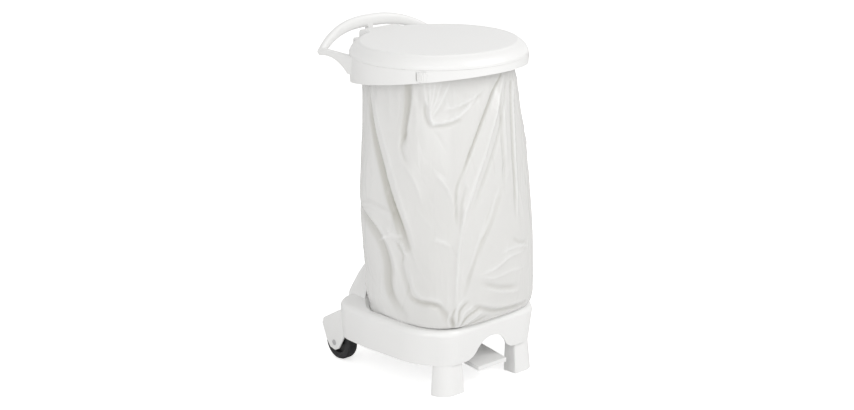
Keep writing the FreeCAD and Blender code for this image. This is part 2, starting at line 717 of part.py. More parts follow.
def make_column():
    """The hollow upright behind the bag."""
    body = new_body("column")
    half, depth, edge = S.column_half_width, COLUMN_REAR, S.column_round
    outside = rounded_sketch(body, "column_outside", "XY_Plane", (-half, S.column_front),
                             (half, depth), (edge,) * 4, S.column_foot)
    add_pad(body, outside, S.column_top - S.column_foot)
    inner = (edge - S.wall,) * 4
    inside = rounded_sketch(body, "column_inside", "XY_Plane",
                            (S.wall - half, S.column_front + S.wall),
                            (half - S.wall, depth - S.wall), inner, S.column_top)
    add_pocket(body, inside)
    for name, z in (("column_low_holes", S.column_screw_low),
                    ("column_high_holes", S.column_screw_high)):
        holes = circle_sketch(body, name, "XZ_Plane",
                              [(-S.column_screw_x, z, S.screw_radius + S.running_gap),
                               (S.column_screw_x, z, S.screw_radius + S.running_gap)], -depth - 5)
        add_pocket(body, holes, 15, backwards=True)
    place(body)
    return body


def make_guide(label, bottom):
    """A plug in the column's end with a bore that guides the lift rod."""
    body = new_body(label)
    half = S.column_half_width - S.wall - S.seat_gap
    front = S.column_front + S.wall + S.seat_gap
    rear = COLUMN_REAR - S.wall - S.seat_gap
    edge = (S.column_round - S.wall - S.seat_gap,) * 4
    block = rounded_sketch(body, f"{label}_block", "XY_Plane", (-half, front), (half, rear),
                           edge, bottom)
    add_pad(body, block, S.guide_thickness)
    bore = circle_sketch(body, f"{label}_bore", "XY_Plane",
                         [(0, ROD_Y, S.rod_radius + S.running_gap)], bottom + S.guide_thickness)
    add_pocket(body, bore)
    relief = rounded_sketch(body, f"{label}_relief", "XY_Plane",
                            (S.wall * 2 - half, ROD_Y + S.rod_radius + 4),
                            (half - S.wall * 2, rear - S.wall), (Size(2),) * 4,
                            bottom + S.guide_thickness)
    add_pocket(body, relief, S.guide_thickness - S.wall)
    place(body)
    return body


def make_pin(label, radius, length, x, y, z, head_radius=None, head_height=0, side=1):
    """A round pin along X; a head, where given, closes its outer end."""
    body = new_body(label)
    shank = circle_sketch(body, f"{label}_section", "YZ_Plane", [(0, 0, radius)])
    add_pad(body, shank, length, backwards=side < 0)
    if head_radius:
        offset = length if side > 0 else -length
        head = circle_sketch(body, f"{label}_head", "YZ_Plane", [(0, 0, head_radius)], offset)
        add_pad(body, head, head_height, backwards=side < 0)
    place(body, x, y, z)
    return body


def make_washers(label, inner, outer, thickness, places):
    """A group of push-on retaining rings about the X direction."""
    rings = []
    for place_at in places:
        disc = cylinder(outer, thickness, place_at, X_AXIS)
        rings.append(disc.cut(cylinder(inner, thickness, place_at, X_AXIS)))
    thing = doc.addObject("Part::Feature", label)
    thing.Shape = Part.makeCompound(rings)
    place(thing)
    return keep(thing, label)


def make_pedal():
    """The pedal: a wide tread in front, a hub on the shaft and a level rear arm that ends in a fork."""
    body = new_body("pedal")
    reach, depth, arm = S.pedal_reach, S.pedal_thickness, S.arm_half_depth
    rear = ROD_Y - S.pivot_y + 11
    side_view = polygon_sketch(body, "pedal_side", "YZ_Plane", [
        (-reach, -S.pedal_drop), (Size(0), arm), (rear, arm), (rear, -arm), (Size(0), -arm),
        (-reach, -S.pedal_drop - depth)])
    add_pad(body, side_view, S.pedal_half_width * 2, both=True)
    half, narrow = S.pedal_half_width, S.arm_half_width
    for side, name in ((1, "right"), (-1, "left")):
        trim = polygon_sketch(body, f"pedal_{name}_trim", "XY_Plane", [
            (side * narrow, Size(-62)), (side * half, Size(-128)),
            (side * (half + 5), Size(-128)), (side * (half + 5), rear + 5),
            (side * (narrow - 4), rear + 5), (side * (narrow - 4), Size(60)),
            (side * narrow, Size(24))], 60)
        add_pocket(body, trim, 120)
    under = polygon_sketch(body, "pedal_under", "XY_Plane", [
        (S.wall - half, S.wall - reach), (half - S.wall, S.wall - reach),
        (half - S.wall, Size(-130)), (narrow - S.wall, Size(-66)), (narrow - S.wall, Size(-20)),
        (S.wall - narrow, Size(-20)), (S.wall - narrow, Size(-66)), (S.wall - half, Size(-130))],
        -(arm + 5), PEDAL_TILT)
    add_pocket(body, under, 5 + depth - S.wall, backwards=True)
    hub = circle_sketch(body, "pedal_hub", "YZ_Plane", [(0, 0, 11)])
    add_pad(body, hub, narrow * 2, both=True)
    bore = circle_sketch(body, "pedal_bore", "YZ_Plane", [(0, 0, S.shaft_radius + S.running_gap)])
    add_pocket(body, bore, 120, both=True)
    gap = S.rod_radius + 0.8
    fork = polygon_sketch(body, "pedal_fork", "XY_Plane", [
        (-gap, rear - 24), (gap, rear - 24), (gap, rear + 5), (-gap, rear + 5)], 60)
    add_pocket(body, fork, 120)
    pin = S.cross_pin_radius + S.slot_play
    middle = ROD_Y - S.pivot_y
    slot = polygon_sketch(body, "pedal_slot", "YZ_Plane", [
        (middle - pin - 1, -pin), (middle + pin + 3.8, -pin), (middle + pin + 3.8, pin),
        (middle - pin - 1, pin)])
    add_pocket(body, slot, 120, both=True)
    place(body, 0, S.pivot_y, S.pivot_z)
    return body


def make_lift_rod():
    """The round rod from the pedal's fork up to the lid's crank, bored across at both ends."""
    body = new_body("lift_rod")
    low, high = S.pivot_z - 6, Size(ROD_PIN_Z + 6)
    section = circle_sketch(body, "rod_section", "XY_Plane", [(0, 0, S.rod_radius)], low)
    add_pad(body, section, high - low)
    for name, z in (("rod_low_bore", S.pivot_z), ("rod_high_bore", Size(ROD_PIN_Z))):
        bore = circle_sketch(body, name, "YZ_Plane", [(0, z, S.cross_pin_radius)])
        add_pocket(body, bore, 40, both=True)
    place(body, 0, ROD_Y, 0)
    return body


def make_tyre(side, label):
    """A black tyre with rounded shoulders, turned about its axle."""
    body = new_body(label)
    outer, inner, half = S.wheel_radius, S.wheel_radius - S.tyre_depth, S.wheel_width / 2
    profile = polygon_sketch(body, f"{label}_profile", "XZ_Plane", [
        (-half, inner), (half, inner), (half, outer - 6), (half - 2, outer - 2),
        (half - 7, outer), (7 - half, outer), (2 - half, outer - 2), (-half, outer - 6)])
    add_revolution(body, profile, "H_Axis")
    place(body, side * (S.wheel_inner + half), S.wheel_y, S.wheel_radius)
    return body


def make_hub(side, label):
    """A hub with a dished web between its rim and its boss, turned about its axle."""
    body = new_body(label)
    outer, half = S.wheel_radius - S.tyre_depth, S.wheel_width / 2 - 1
    boss = S.wheel_width / 2 + 3.5
    bore = S.axle_radius + S.running_gap
    profile = polygon_sketch(body, f"{label}_profile", "XZ_Plane", [
        (-boss, bore), (boss, bore), (boss, bore + 6), (Size(4), bore + 8),
        (Size(4), outer - 8), (half, outer - 5), (half, outer), (-half, outer),
        (-half, outer - 5), (Size(-4), outer - 8), (Size(-4), bore + 8), (-boss, bore + 6)])
    add_revolution(body, profile, "H_Axis")
    place(body, side * (S.wheel_inner + S.wheel_width / 2), S.wheel_y, S.wheel_radius)
    return body


def band_edge(y, lift=0):
    """Height of the band's sloping lower edge."""
    return n(S.band_mid) - n(S.band_slope) * y + lift


def below_band(lift):
    """Everything under the band's sloping lower edge."""
    reach = 320
    corners = [Vector(-400, -reach, 600), Vector(-400, reach, 600),
               Vector(-400, reach, band_edge(reach, lift)),
               Vector(-400, -reach, band_edge(-reach, lift))]
    return prism(corners, Vector(800, 0, 0))


def bar_section(centre, along, height, depth):
    """A closed rounded section of the handle bar, square to its path."""
    across = Y_AXIS
    up = along.cross(across).normalize()
    if up.z < 0:
        up = up * -1
    points = []
    for step in range(12):
        angle = 2 * math.pi * step / 12
        c, s = math.cos(angle), math.sin(angle)
        u = math.copysign(abs(c) ** 0.8, c) * depth / 2
        v = math.copysign(abs(s) ** 0.8, s) * height / 2
        points.append(centre + across * u + up * v)
    curve = Part.BSplineCurve()
    curve.interpolate(Points=points, PeriodicFlag=True)
    return Part.Wire(curve.toShape())


def bow_point(share):
    """A point on the bow's path; share runs from -1 at the left end to 1 at the right end."""
    low = n(S.arm_top - S.bow_end_height / 2)
    return Vector(n(S.arm_x) * share, n(S.arm_y) + n(S.bow_back) * (1 - share ** 2),
                  low + n(S.bow_rise) * (1 - abs(share) ** 2.6))


def make_handle():
    """The bow, its two arms with their gussets, and the strut under its middle."""
    sections = []
    stations = 14
    for step in range(stations + 1):
        share = -1 + 2 * step / stations
        before, after = bow_point(max(-1, share - 0.02)), bow_point(min(1, share + 0.02))
        along = (after - before).normalize()
        height = n(S.bow_end_height) + n(S.bow_mid_height - S.bow_end_height) * (1 - share ** 2)
        sections.append(bar_section(bow_point(share), along, height, n(S.arm_depth)))
    bow = Part.makeLoft(sections, True)
    half = n(S.arm_depth) / 2
    top, corner, foot = n(S.arm_top), n(S.arm_y), n(S.gusset_foot)
    under = top - n(S.bow_end_height)
    below_lid = n(S.ring_top) - 0.3
    for side in (1, -1):
        x = side * n(S.arm_x) - half
        start, end = Vector(x, corner, under), Vector(x, corner - 112, foot)
        middle = Vector(x, corner - 78, under - 7)
        face = Part.Face(Part.Wire([
            Part.LineSegment(Vector(x, 90, below_lid), Vector(x, corner - 92, below_lid)).toShape(),
            Part.LineSegment(Vector(x, corner - 92, below_lid), Vector(x, corner, top)).toShape(),
            Part.LineSegment(Vector(x, corner, top), start).toShape(),
            Part.Arc(start, middle, end).toShape(),
            Part.LineSegment(end, Vector(x, 90, foot)).toShape(),
            Part.LineSegment(Vector(x, 90, foot), Vector(x, 90, below_lid)).toShape()]))
        arm = face.extrude(Vector(2 * half, 0, 0))
        edges = [edge for edge in arm.Edges if edge.BoundBox.YMax > corner - 1
                 and edge.BoundBox.YMin < corner - 50]
        arm = arm.makeFillet(5, edges)
        knob = Part.makeSphere(half + 0.6, bow_point(side))
        bow = bow.fuse(arm).fuse(knob)
    x = n(S.strut_half_width)
    mid = bow_point(0)
    inside, roof = n(S.bracket_rear) - 2, n(S.bracket_top)
    strut = prism([Vector(-x, mid.y - 9, mid.z), Vector(-x, mid.y + 7, mid.z),
                   Vector(-x, mid.y + 4, roof - 8), Vector(-x, inside, roof - 40),
                   Vector(-x, inside, roof - 10), Vector(-x, mid.y - 11, roof)],
                  Vector(2 * x, 0, 0))
    return bow.fuse(strut)


def film_clip(side):
    """A U-shaped slot in the band that leaves a tongue; the film is pinched behind it."""
    half, slot = n(S.clip_width) / 2, n(S.clip_slot)
    low, high = n(S.clip_bottom), n(S.clip_top)
    near, far = n(S.ring_radius) - 8, n(S.ring_radius) + 8
    outer = box((-half, -far, low), (half, -near, high))
    feet = [edge for edge in outer.Edges if abs(edge.BoundBox.ZMax - low) < 0.01
            and edge.BoundBox.YLength > 1]
    outer = outer.makeFillet(half * 0.8, feet)
    tongue = box((slot - half, -far, low + slot), (half - slot, -near, high + 1))
    tips = [edge for edge in tongue.Edges if abs(edge.BoundBox.ZMax - low - slot) < 0.01
            and edge.BoundBox.YLength > 1]
    tongue = tongue.makeFillet((half - slot) * 0.8, tips)
    clip = outer.cut(tongue)
    clip.rotate(Vector(0, 0, 0), Z_AXIS, side * n(S.clip_angle))
    return clip


def make_bag_ring():
    """The ring: band, deck, collar, rear bracket with its ears, film clips and the bow handle."""
    radius, wall, top = n(S.ring_radius), n(S.ring_wall), n(S.ring_top)
    collar = n(S.collar_radius)
    low = 700
    band = cylinder(radius, top - low, Vector(0, 0, low), Z_AXIS)
    rim = [edge for edge in band.Edges if edge.BoundBox.ZMin > top - 0.01]
    band = band.makeFillet(1.5, rim)
    groove = cylinder(radius - wall, top - wall - low, Vector(0, 0, low), Z_AXIS)
    groove = groove.cut(cylinder(collar, top, Vector(0, 0, low), Z_AXIS))
    half, rear = n(S.bracket_half_width), n(S.bracket_rear)
    bracket = box((-half, collar - 30, low), (half, rear, n(S.bracket_top)))
    upright = [edge for edge in bracket.Edges if edge.BoundBox.ZLength > 50
               and edge.BoundBox.YMin > rear - 1]
    bracket = bracket.makeFillet(10, upright)
    handle = make_handle().cut(cylinder(radius - wall, 300, Vector(0, 0, low), Z_AXIS))
    short = cylinder(collar + 0.1, n(S.collar_bottom) - low, Vector(0, 0, low), Z_AXIS)
    ring = band.cut(groove).cut(below_band(0)).cut(short)
    bracket = bracket.cut(below_band(0))
    room_half = half - n(S.wall)
    hinge = Vector(0, n(S.hinge_y), n(S.hinge_z))
    roof = n(S.bracket_top - S.wall)
    side_rooms = box((-room_half, radius, low), (room_half, rear - wall, roof - wall))
    front_room = cylinder(radius - wall, 300, Vector(0, 0, low), Z_AXIS)
    socket = column_box(n(S.seat_gap), low, roof)
    socket_walls = column_box(n(S.seat_gap + S.wall), low, 900)
    bracket = bracket.cut(side_rooms.fuse(front_room).cut(socket_walls)).cut(socket)
    ring = ring.fuse(bracket)
    ring = ring.cut(cylinder(collar - wall, 400, Vector(0, 0, low), Z_AXIS))
    ring = ring.cut(socket)
    ring = ring.fuse(handle)
    clear = n(S.ear_inner) - 1
    ring = ring.cut(box((-clear, 222, n(S.bracket_top)), (clear, rear + 4, top + 30)))
    swing = cylinder(29, 2 * clear, Vector(-clear, hinge.y, hinge.z), X_AXIS)
    ring = ring.cut(swing.cut(box((-clear, 100, 700), (clear, 400, n(S.bracket_top)))))
    for side in (1, -1):
        inner, outer = n(S.ear_inner), half
        low_x, high_x = sorted((side * inner, side * outer))
        ear = box((low_x, hinge.y - 9, 840), (high_x, hinge.y + 9, hinge.z))
        ear = ear.fuse(cylinder(9, outer - inner, Vector(low_x, hinge.y, hinge.z), X_AXIS))
        ring = ring.fuse(ear)
        ring = ring.cut(film_clip(side))
    crank_reach = CRANK_LENGTH + 12
    crank_room = n(S.crank_inner + S.crank_thickness) + 3
    ring = ring.cut(box((-crank_room, hinge.y - crank_reach, 820),
                        (crank_room, hinge.y - 2, top + 10)))
    pin = Vector(-100, hinge.y, hinge.z)
    ring = ring.cut(cylinder(S.hinge_pin_radius + S.running_gap, 200, pin, X_AXIS))
    for hole in column_screw_places(COLUMN_REAR, S.column_screw_high):
        ring = ring.cut(cylinder(S.screw_radius + S.running_gap, 20, hole - Y_AXIS * 2, Y_AXIS))
    return feature("bag_ring", ring)


CRANK_LENGTH = n(S.crank_reach) / math.cos(math.radians(n(S.crank_angle)))


def lid_profile(inset):
    """Half section of the lid, drawn in by inset, closed on the axis."""
    top = n(S.lid_top) - inset
    edge = top - n(S.lid_dome)
    plateau, radius = n(S.plateau_radius), n(S.ring_radius + S.lid_over_ring) - inset
    bottom = n(S.lid_bottom) - (10 if inset else 0)
    shoulder = n(S.lid_bottom) + 5
    plateau = plateau - inset * 0.5
    crown = Part.Arc(Vector(0, 0, top), Vector(plateau * 0.5, 0, top - n(S.lid_dome) * 0.25),
                     Vector(plateau - 5, 0, edge))
    turn = Part.Arc(Vector(plateau - 5, 0, edge), Vector(plateau + 0.3, 0, edge - 1.2),
                    Vector(plateau + 4.2, 0, edge - 4.6))
    slope = Part.Arc(Vector(plateau + 4.2, 0, edge - 4.6),
                     Vector((plateau + 4.2) * 0.32 + radius * 0.68, 0,
                            (edge - 4.6) * 0.53 + shoulder * 0.47),
                     Vector(radius, 0, shoulder))
    return Part.Face(Part.Wire([
        crown.toShape(), turn.toShape(), slope.toShape(),
        Part.LineSegment(Vector(radius, 0, shoulder), Vector(radius, 0, bottom)).toShape(),
        Part.LineSegment(Vector(radius, 0, bottom), Vector(0, 0, bottom)).toShape(),
        Part.LineSegment(Vector(0, 0, bottom), Vector(0, 0, top)).toShape()]))


def hinge_block(inset):
    """The block behind the lid that holds the hinge, drawn in by inset."""
    half, rear, top = n(S.block_half_width) - inset, n(S.block_rear) - inset, n(S.block_top) - inset
    bottom = n(S.lid_bottom) - (10 if inset else 0)
    solid = box((-half, 120, bottom), (half, rear, top))
    edge_rear = [edge for edge in solid.Edges if edge.BoundBox.XLength > half
                 and edge.BoundBox.ZMin > top - 1 and edge.BoundBox.YMin > rear - 1]
    solid = solid.makeFillet(n(S.block_round) - inset, edge_rear)
    sides = [edge for edge in solid.Edges if edge.BoundBox.YLength > 60
             and edge.BoundBox.ZMin > top - 1]
    return solid.makeFillet(max(1.0, 4 - inset), sides)


def crank_plate(side):
    """One plate of the crank: an arm from the hinge with a slot along it for the rod's pin."""
    inner, thickness = n(S.crank_inner), n(S.crank_thickness)
    x = side * inner if side > 0 else side * inner - thickness
    hinge = Vector(x, n(S.hinge_y), n(S.hinge_z))
    slot_half = n(S.cross_pin_radius + S.crank_play)
    arm_half = slot_half + 4.6
    near, far = n(S.crank_reach) - 1, CRANK_LENGTH + 0.6
    arm = box((0, -far, -arm_half), (thickness, 0, arm_half))
    arm = arm.fuse(cylinder(arm_half, thickness, Vector(0, -far, 0), X_AXIS))
    slot = box((-1, -far, -slot_half), (thickness + 1, -near, slot_half))
    slot = slot.fuse(cylinder(slot_half, thickness + 2, Vector(-1, -far, 0), X_AXIS))
    slot = slot.fuse(cylinder(slot_half, thickness + 2, Vector(-1, -near, 0), X_AXIS))
    plate = arm.cut(slot)
    turn = FreeCAD.Rotation(X_AXIS, n(S.crank_angle))
    plate.Placement = FreeCAD.Placement(hinge, turn)
    return plate


def make_lid():
    """The lid: plateau, sloping shoulder, hinge block, knuckle and crank in one moulding."""
    axis_start = Vector(0, 0, 0)
    outer = lid_profile(0).revolve(axis_start, Z_AXIS, 360).fuse(hinge_block(0))
    wall = n(S.lid_wall)
    inner = lid_profile(wall).revolve(axis_start, Z_AXIS, 360).fuse(hinge_block(wall))
    lid = outer.cut(inner)
    half = n(S.block_half_width)
    hinge = Vector(-half, n(S.hinge_y), n(S.hinge_z))
    lid = lid.fuse(cylinder(S.knuckle_radius, 2 * half, hinge, X_AXIS))
    for x in (-half + 18, half - 22):
        rib = box((x, n(S.hinge_y) - 30, n(S.hinge_z)), (x + 4, n(S.hinge_y), n(S.block_top) - 1))
        lid = lid.fuse(rib)
    for side in (1, -1):
        lid = lid.fuse(crank_plate(side))
    pin = Vector(-100, n(S.hinge_y), n(S.hinge_z))
    lid = lid.cut(cylinder(S.hinge_pin_radius + S.running_gap, 200, pin, X_AXIS))
    return feature("lid", lid)


# Bag sections: height, front, rear and half width, then squareness at the front and at the rear.
# Front and half width are shares of the way from the collar to the furthest front and side.
BAG_FIT = n(S.collar_radius) + 1.6 + n(S.film)
BAG = (
    (n(S.floor_top) + 0.3, -0.42, 158, -1.05, 3.9, 3.0),
    (152, -0.26, 163, -0.50, 3.6, 2.9),
    (168, -0.19, 165, -0.28, 3.35, 2.6),
    (182, -0.13, 166, -0.20, 3.25, 2.5),
    (194, 0.06, 169, -0.02, 3.1, 2.45),
    (223, 0.74, 179, 0.42, 2.75, 2.4),
    (288, 0.96, 183, 0.71, 2.45, 2.2),
    (349, 1.0, 187, 0.86, 2.3, 2.2),
    (418, 0.98, 192, 1.0, 2.2, 2.15),
    (500, 0.86, 194, 1.0, 2.15, 2.1),
    (595, 0.68, 191, 0.77, 2.1, 2.05),
    (675, 0.46, 190, 0.47, 2.05, 2.0),
    (755, 0.21, 190.4, 0.17, 2.0, 2.0),
    (800, 0.07, 191.2, 0.05, 2.0, 2.0),
    (n(S.collar_bottom) - 4, 0.035, BAG_FIT, 0.03, 2.0, 2.0),
    (n(S.collar_bottom) + 10, 0.015, BAG_FIT, 0.01, 2.0, 2.0),
    (n(S.bag_top), 0, BAG_FIT, 0, 2.0, 2.0),
)


def bag_wire(row, inset, lift=0):
    """One closed section of the bag, drawn in by inset and lifted by lift."""
    z, front_share, rear, side_share, square_front, square_rear = row
    front = BAG_FIT + front_share * (n(S.bag_front) - BAG_FIT)
    half_x = BAG_FIT + side_share * (n(S.bag_side) - BAG_FIT)
    centre, half_y = (rear - front) / 2, (rear + front) / 2
    points = []
    count = 16
    for step in range(count):
        angle = 2 * math.pi * step / count
        c, s = math.cos(angle), math.sin(angle)
        power = square_front if s < 0 else square_rear
        reach = ((abs(c) / (half_x - inset)) ** power
                 + (abs(s) / (half_y - inset)) ** power) ** (-1 / power)
        points.append(Vector(reach * c, centre + reach * s, z + lift))
    curve = Part.BSplineCurve()
    curve.interpolate(Points=points, PeriodicFlag=True)
    return Part.Wire(curve.toShape())


def make_bag():
    """The bag as one thin open shell, standing in the tray and drawn over the collar."""
    film = n(S.film)
    outer = Part.makeLoft([bag_wire(row, 0) for row in BAG], True)
    lifts = [film] + [0] * (len(BAG) - 2) + [film]
    inner = Part.makeLoft([bag_wire(row, film, lift) for row, lift in zip(BAG, lifts)], True)
    return feature("bag", outer.cut(inner))


make_base_tray()
for foot_side, foot_label in ((-1, "left_foot"), (1, "right_foot")):
    make_foot(foot_side, foot_label)
make_screws("foot_screws", foot_screw_places(n(S.floor_top - S.wall)), Z_AXIS, 0)
make_column()
make_guide("lower_rod_guide", S.column_foot + 4)
make_guide("upper_rod_guide", S.column_top - S.guide_thickness)
make_screws("lower_column_screws",
            column_screw_places(COLUMN_SCREW_SEAT, S.column_screw_low), X_AXIS, -90)
make_screws("upper_column_screws",
            column_screw_places(S.bracket_rear, S.column_screw_high), X_AXIS, -90)
make_bag_ring()
make_lid()
make_pin("hinge_pin", S.hinge_pin_radius, S.bracket_half_width * 2, -S.bracket_half_width,
         S.hinge_y, S.hinge_z)
make_pedal()
shaft_half = S.arm_half_width + S.lug_gap + S.lug_thickness + 4
make_pin("pedal_shaft", S.shaft_radius, shaft_half * 2, -shaft_half, S.pivot_y, S.pivot_z)
lug_face = n(S.arm_half_width + S.lug_gap + S.lug_thickness)
make_washers("shaft_clips", n(S.shaft_radius), 9, 1.5,
             [Vector(x, n(S.pivot_y), n(S.pivot_z)) for x in (-lug_face - 1.5, lug_face)])
make_lift_rod()
make_pin("lower_cross_pin", S.cross_pin_radius, 24, -12, ROD_Y, S.pivot_z)
make_pin("upper_cross_pin", S.cross_pin_radius, 26, -13, ROD_Y, Size(ROD_PIN_Z))
for wheel_side, name in ((-1, "left"), (1, "right")):
    make_tyre(wheel_side, f"{name}_tyre")
    make_hub(wheel_side, f"{name}_hub")
    pin_start = S.cheek_inner - 4
    make_pin(f"{name}_axle", S.axle_radius, S.cheek_outer - 2.5 - pin_start, wheel_side * pin_start,
             S.wheel_y, S.wheel_radius, S.axle_head_radius, 2, wheel_side)
make_washers("axle_clips", n(S.axle_radius), 9, 1.5,
             [Vector(x, n(S.wheel_y), n(S.wheel_radius))
              for x in (-n(S.cheek_inner), n(S.cheek_inner) - 1.5)])
make_bag()

doc.recompute()

for item in doc.Objects:
    if "Invalid" in item.State or "Error" in item.State:
        raise RuntimeError(f"{item.Label} did not build: {item.State}")
for label, thing in nodes.items():
    if thing.Shape.isNull() or not thing.Shape.isValid():
        raise RuntimeError(f"{label} has no valid solid")

os.makedirs("parts", exist_ok=True)
for label, thing in nodes.items():
    thing.Shape.exportStep(f"parts/{label}.step")
    bounds = thing.Shape.BoundBox
    print(f"{label}: {len(thing.Shape.Solids)} solids, {thing.Shape.Volume / 1000:.1f} cm3, "
          f"x {bounds.XMin:.1f} to {bounds.XMax:.1f}, y {bounds.YMin:.1f} to {bounds.YMax:.1f}, "
          f"z {bounds.ZMin:.1f} to {bounds.ZMax:.1f}")
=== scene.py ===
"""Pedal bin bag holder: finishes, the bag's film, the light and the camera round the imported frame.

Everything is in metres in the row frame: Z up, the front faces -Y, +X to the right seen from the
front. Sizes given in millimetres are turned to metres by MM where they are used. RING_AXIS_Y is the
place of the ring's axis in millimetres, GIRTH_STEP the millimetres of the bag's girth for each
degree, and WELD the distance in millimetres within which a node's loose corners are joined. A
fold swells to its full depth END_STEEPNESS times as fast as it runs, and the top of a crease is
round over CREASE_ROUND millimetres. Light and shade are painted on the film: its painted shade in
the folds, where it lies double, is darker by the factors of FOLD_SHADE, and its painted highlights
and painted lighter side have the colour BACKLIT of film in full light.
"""

import logging
import math
from dataclasses import dataclass
from enum import Enum
from typing import Sequence

import bmesh
import bpy
import numpy as np
from mathutils import Matrix, Vector
from mathutils.bvhtree import BVHTree

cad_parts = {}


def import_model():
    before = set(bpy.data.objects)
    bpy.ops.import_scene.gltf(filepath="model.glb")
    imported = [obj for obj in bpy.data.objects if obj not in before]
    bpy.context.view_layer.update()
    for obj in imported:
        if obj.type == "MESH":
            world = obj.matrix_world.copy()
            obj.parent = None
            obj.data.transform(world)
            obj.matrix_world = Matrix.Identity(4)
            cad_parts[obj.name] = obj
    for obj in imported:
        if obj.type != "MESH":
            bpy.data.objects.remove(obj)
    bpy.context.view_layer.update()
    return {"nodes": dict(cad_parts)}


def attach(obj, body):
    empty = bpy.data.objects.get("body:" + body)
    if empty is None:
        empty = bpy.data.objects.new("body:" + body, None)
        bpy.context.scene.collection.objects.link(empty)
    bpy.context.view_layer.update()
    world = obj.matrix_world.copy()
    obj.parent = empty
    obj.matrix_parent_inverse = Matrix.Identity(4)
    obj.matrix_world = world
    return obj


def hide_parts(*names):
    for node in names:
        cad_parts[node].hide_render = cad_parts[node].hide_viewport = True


LOG = logging.getLogger("bag_holder")
MM = 0.001
RING_AXIS_Y = -24.5
GIRTH_STEP = 3.68
WELD = 0.01
FLAT_ANGLE = 0.6
END_STEEPNESS = 5
CREASE_ROUND = 0.8
TONE_REACH = 0.3
# Painted light on the film: FOLD_SHADE darkens it into painted shade in the folds, and BACKLIT is
# the colour of its painted highlights and its painted lighter side.
FOLD_SHADE = (0.66, 0.65, 0.60)
BACKLIT = (0.93, 0.93, 0.925)
PHOTO_WIDTH = 854
SENSOR = 36.0


class Across(Enum):
    """How a fold's height runs across its line."""

    VALLEY = "valley"
    CREASE = "crease"
    FLANK = "flank"


class Surface(Enum):
    """Fine relief of a finish."""

    NONE = "none"
    MOULDED = "moulded"
    FILM = "film"
    BRUSHED = "brushed"


@dataclass(frozen=True)
class Relief:
    """Sizes of a fine relief.

    Args:
        stretch: scale of the noise along X, Y and Z.
        scale: how fine the noise is.
        strength: strength of the bump.
        distance: height of the bump in metres.
    """

    stretch: tuple[float, float, float]
    scale: float
    strength: float
    distance: float


RELIEFS: dict[Surface, Relief] = {
    Surface.MOULDED: Relief((1.0, 1.0, 1.0), 420.0, 0.05, 0.00015),
    Surface.FILM: Relief((1.0, 1.0, 0.12), 260.0, 0.16, 0.0003),
    Surface.BRUSHED: Relief((0.05, 1.0, 1.0), 900.0, 0.10, 0.0001),
}


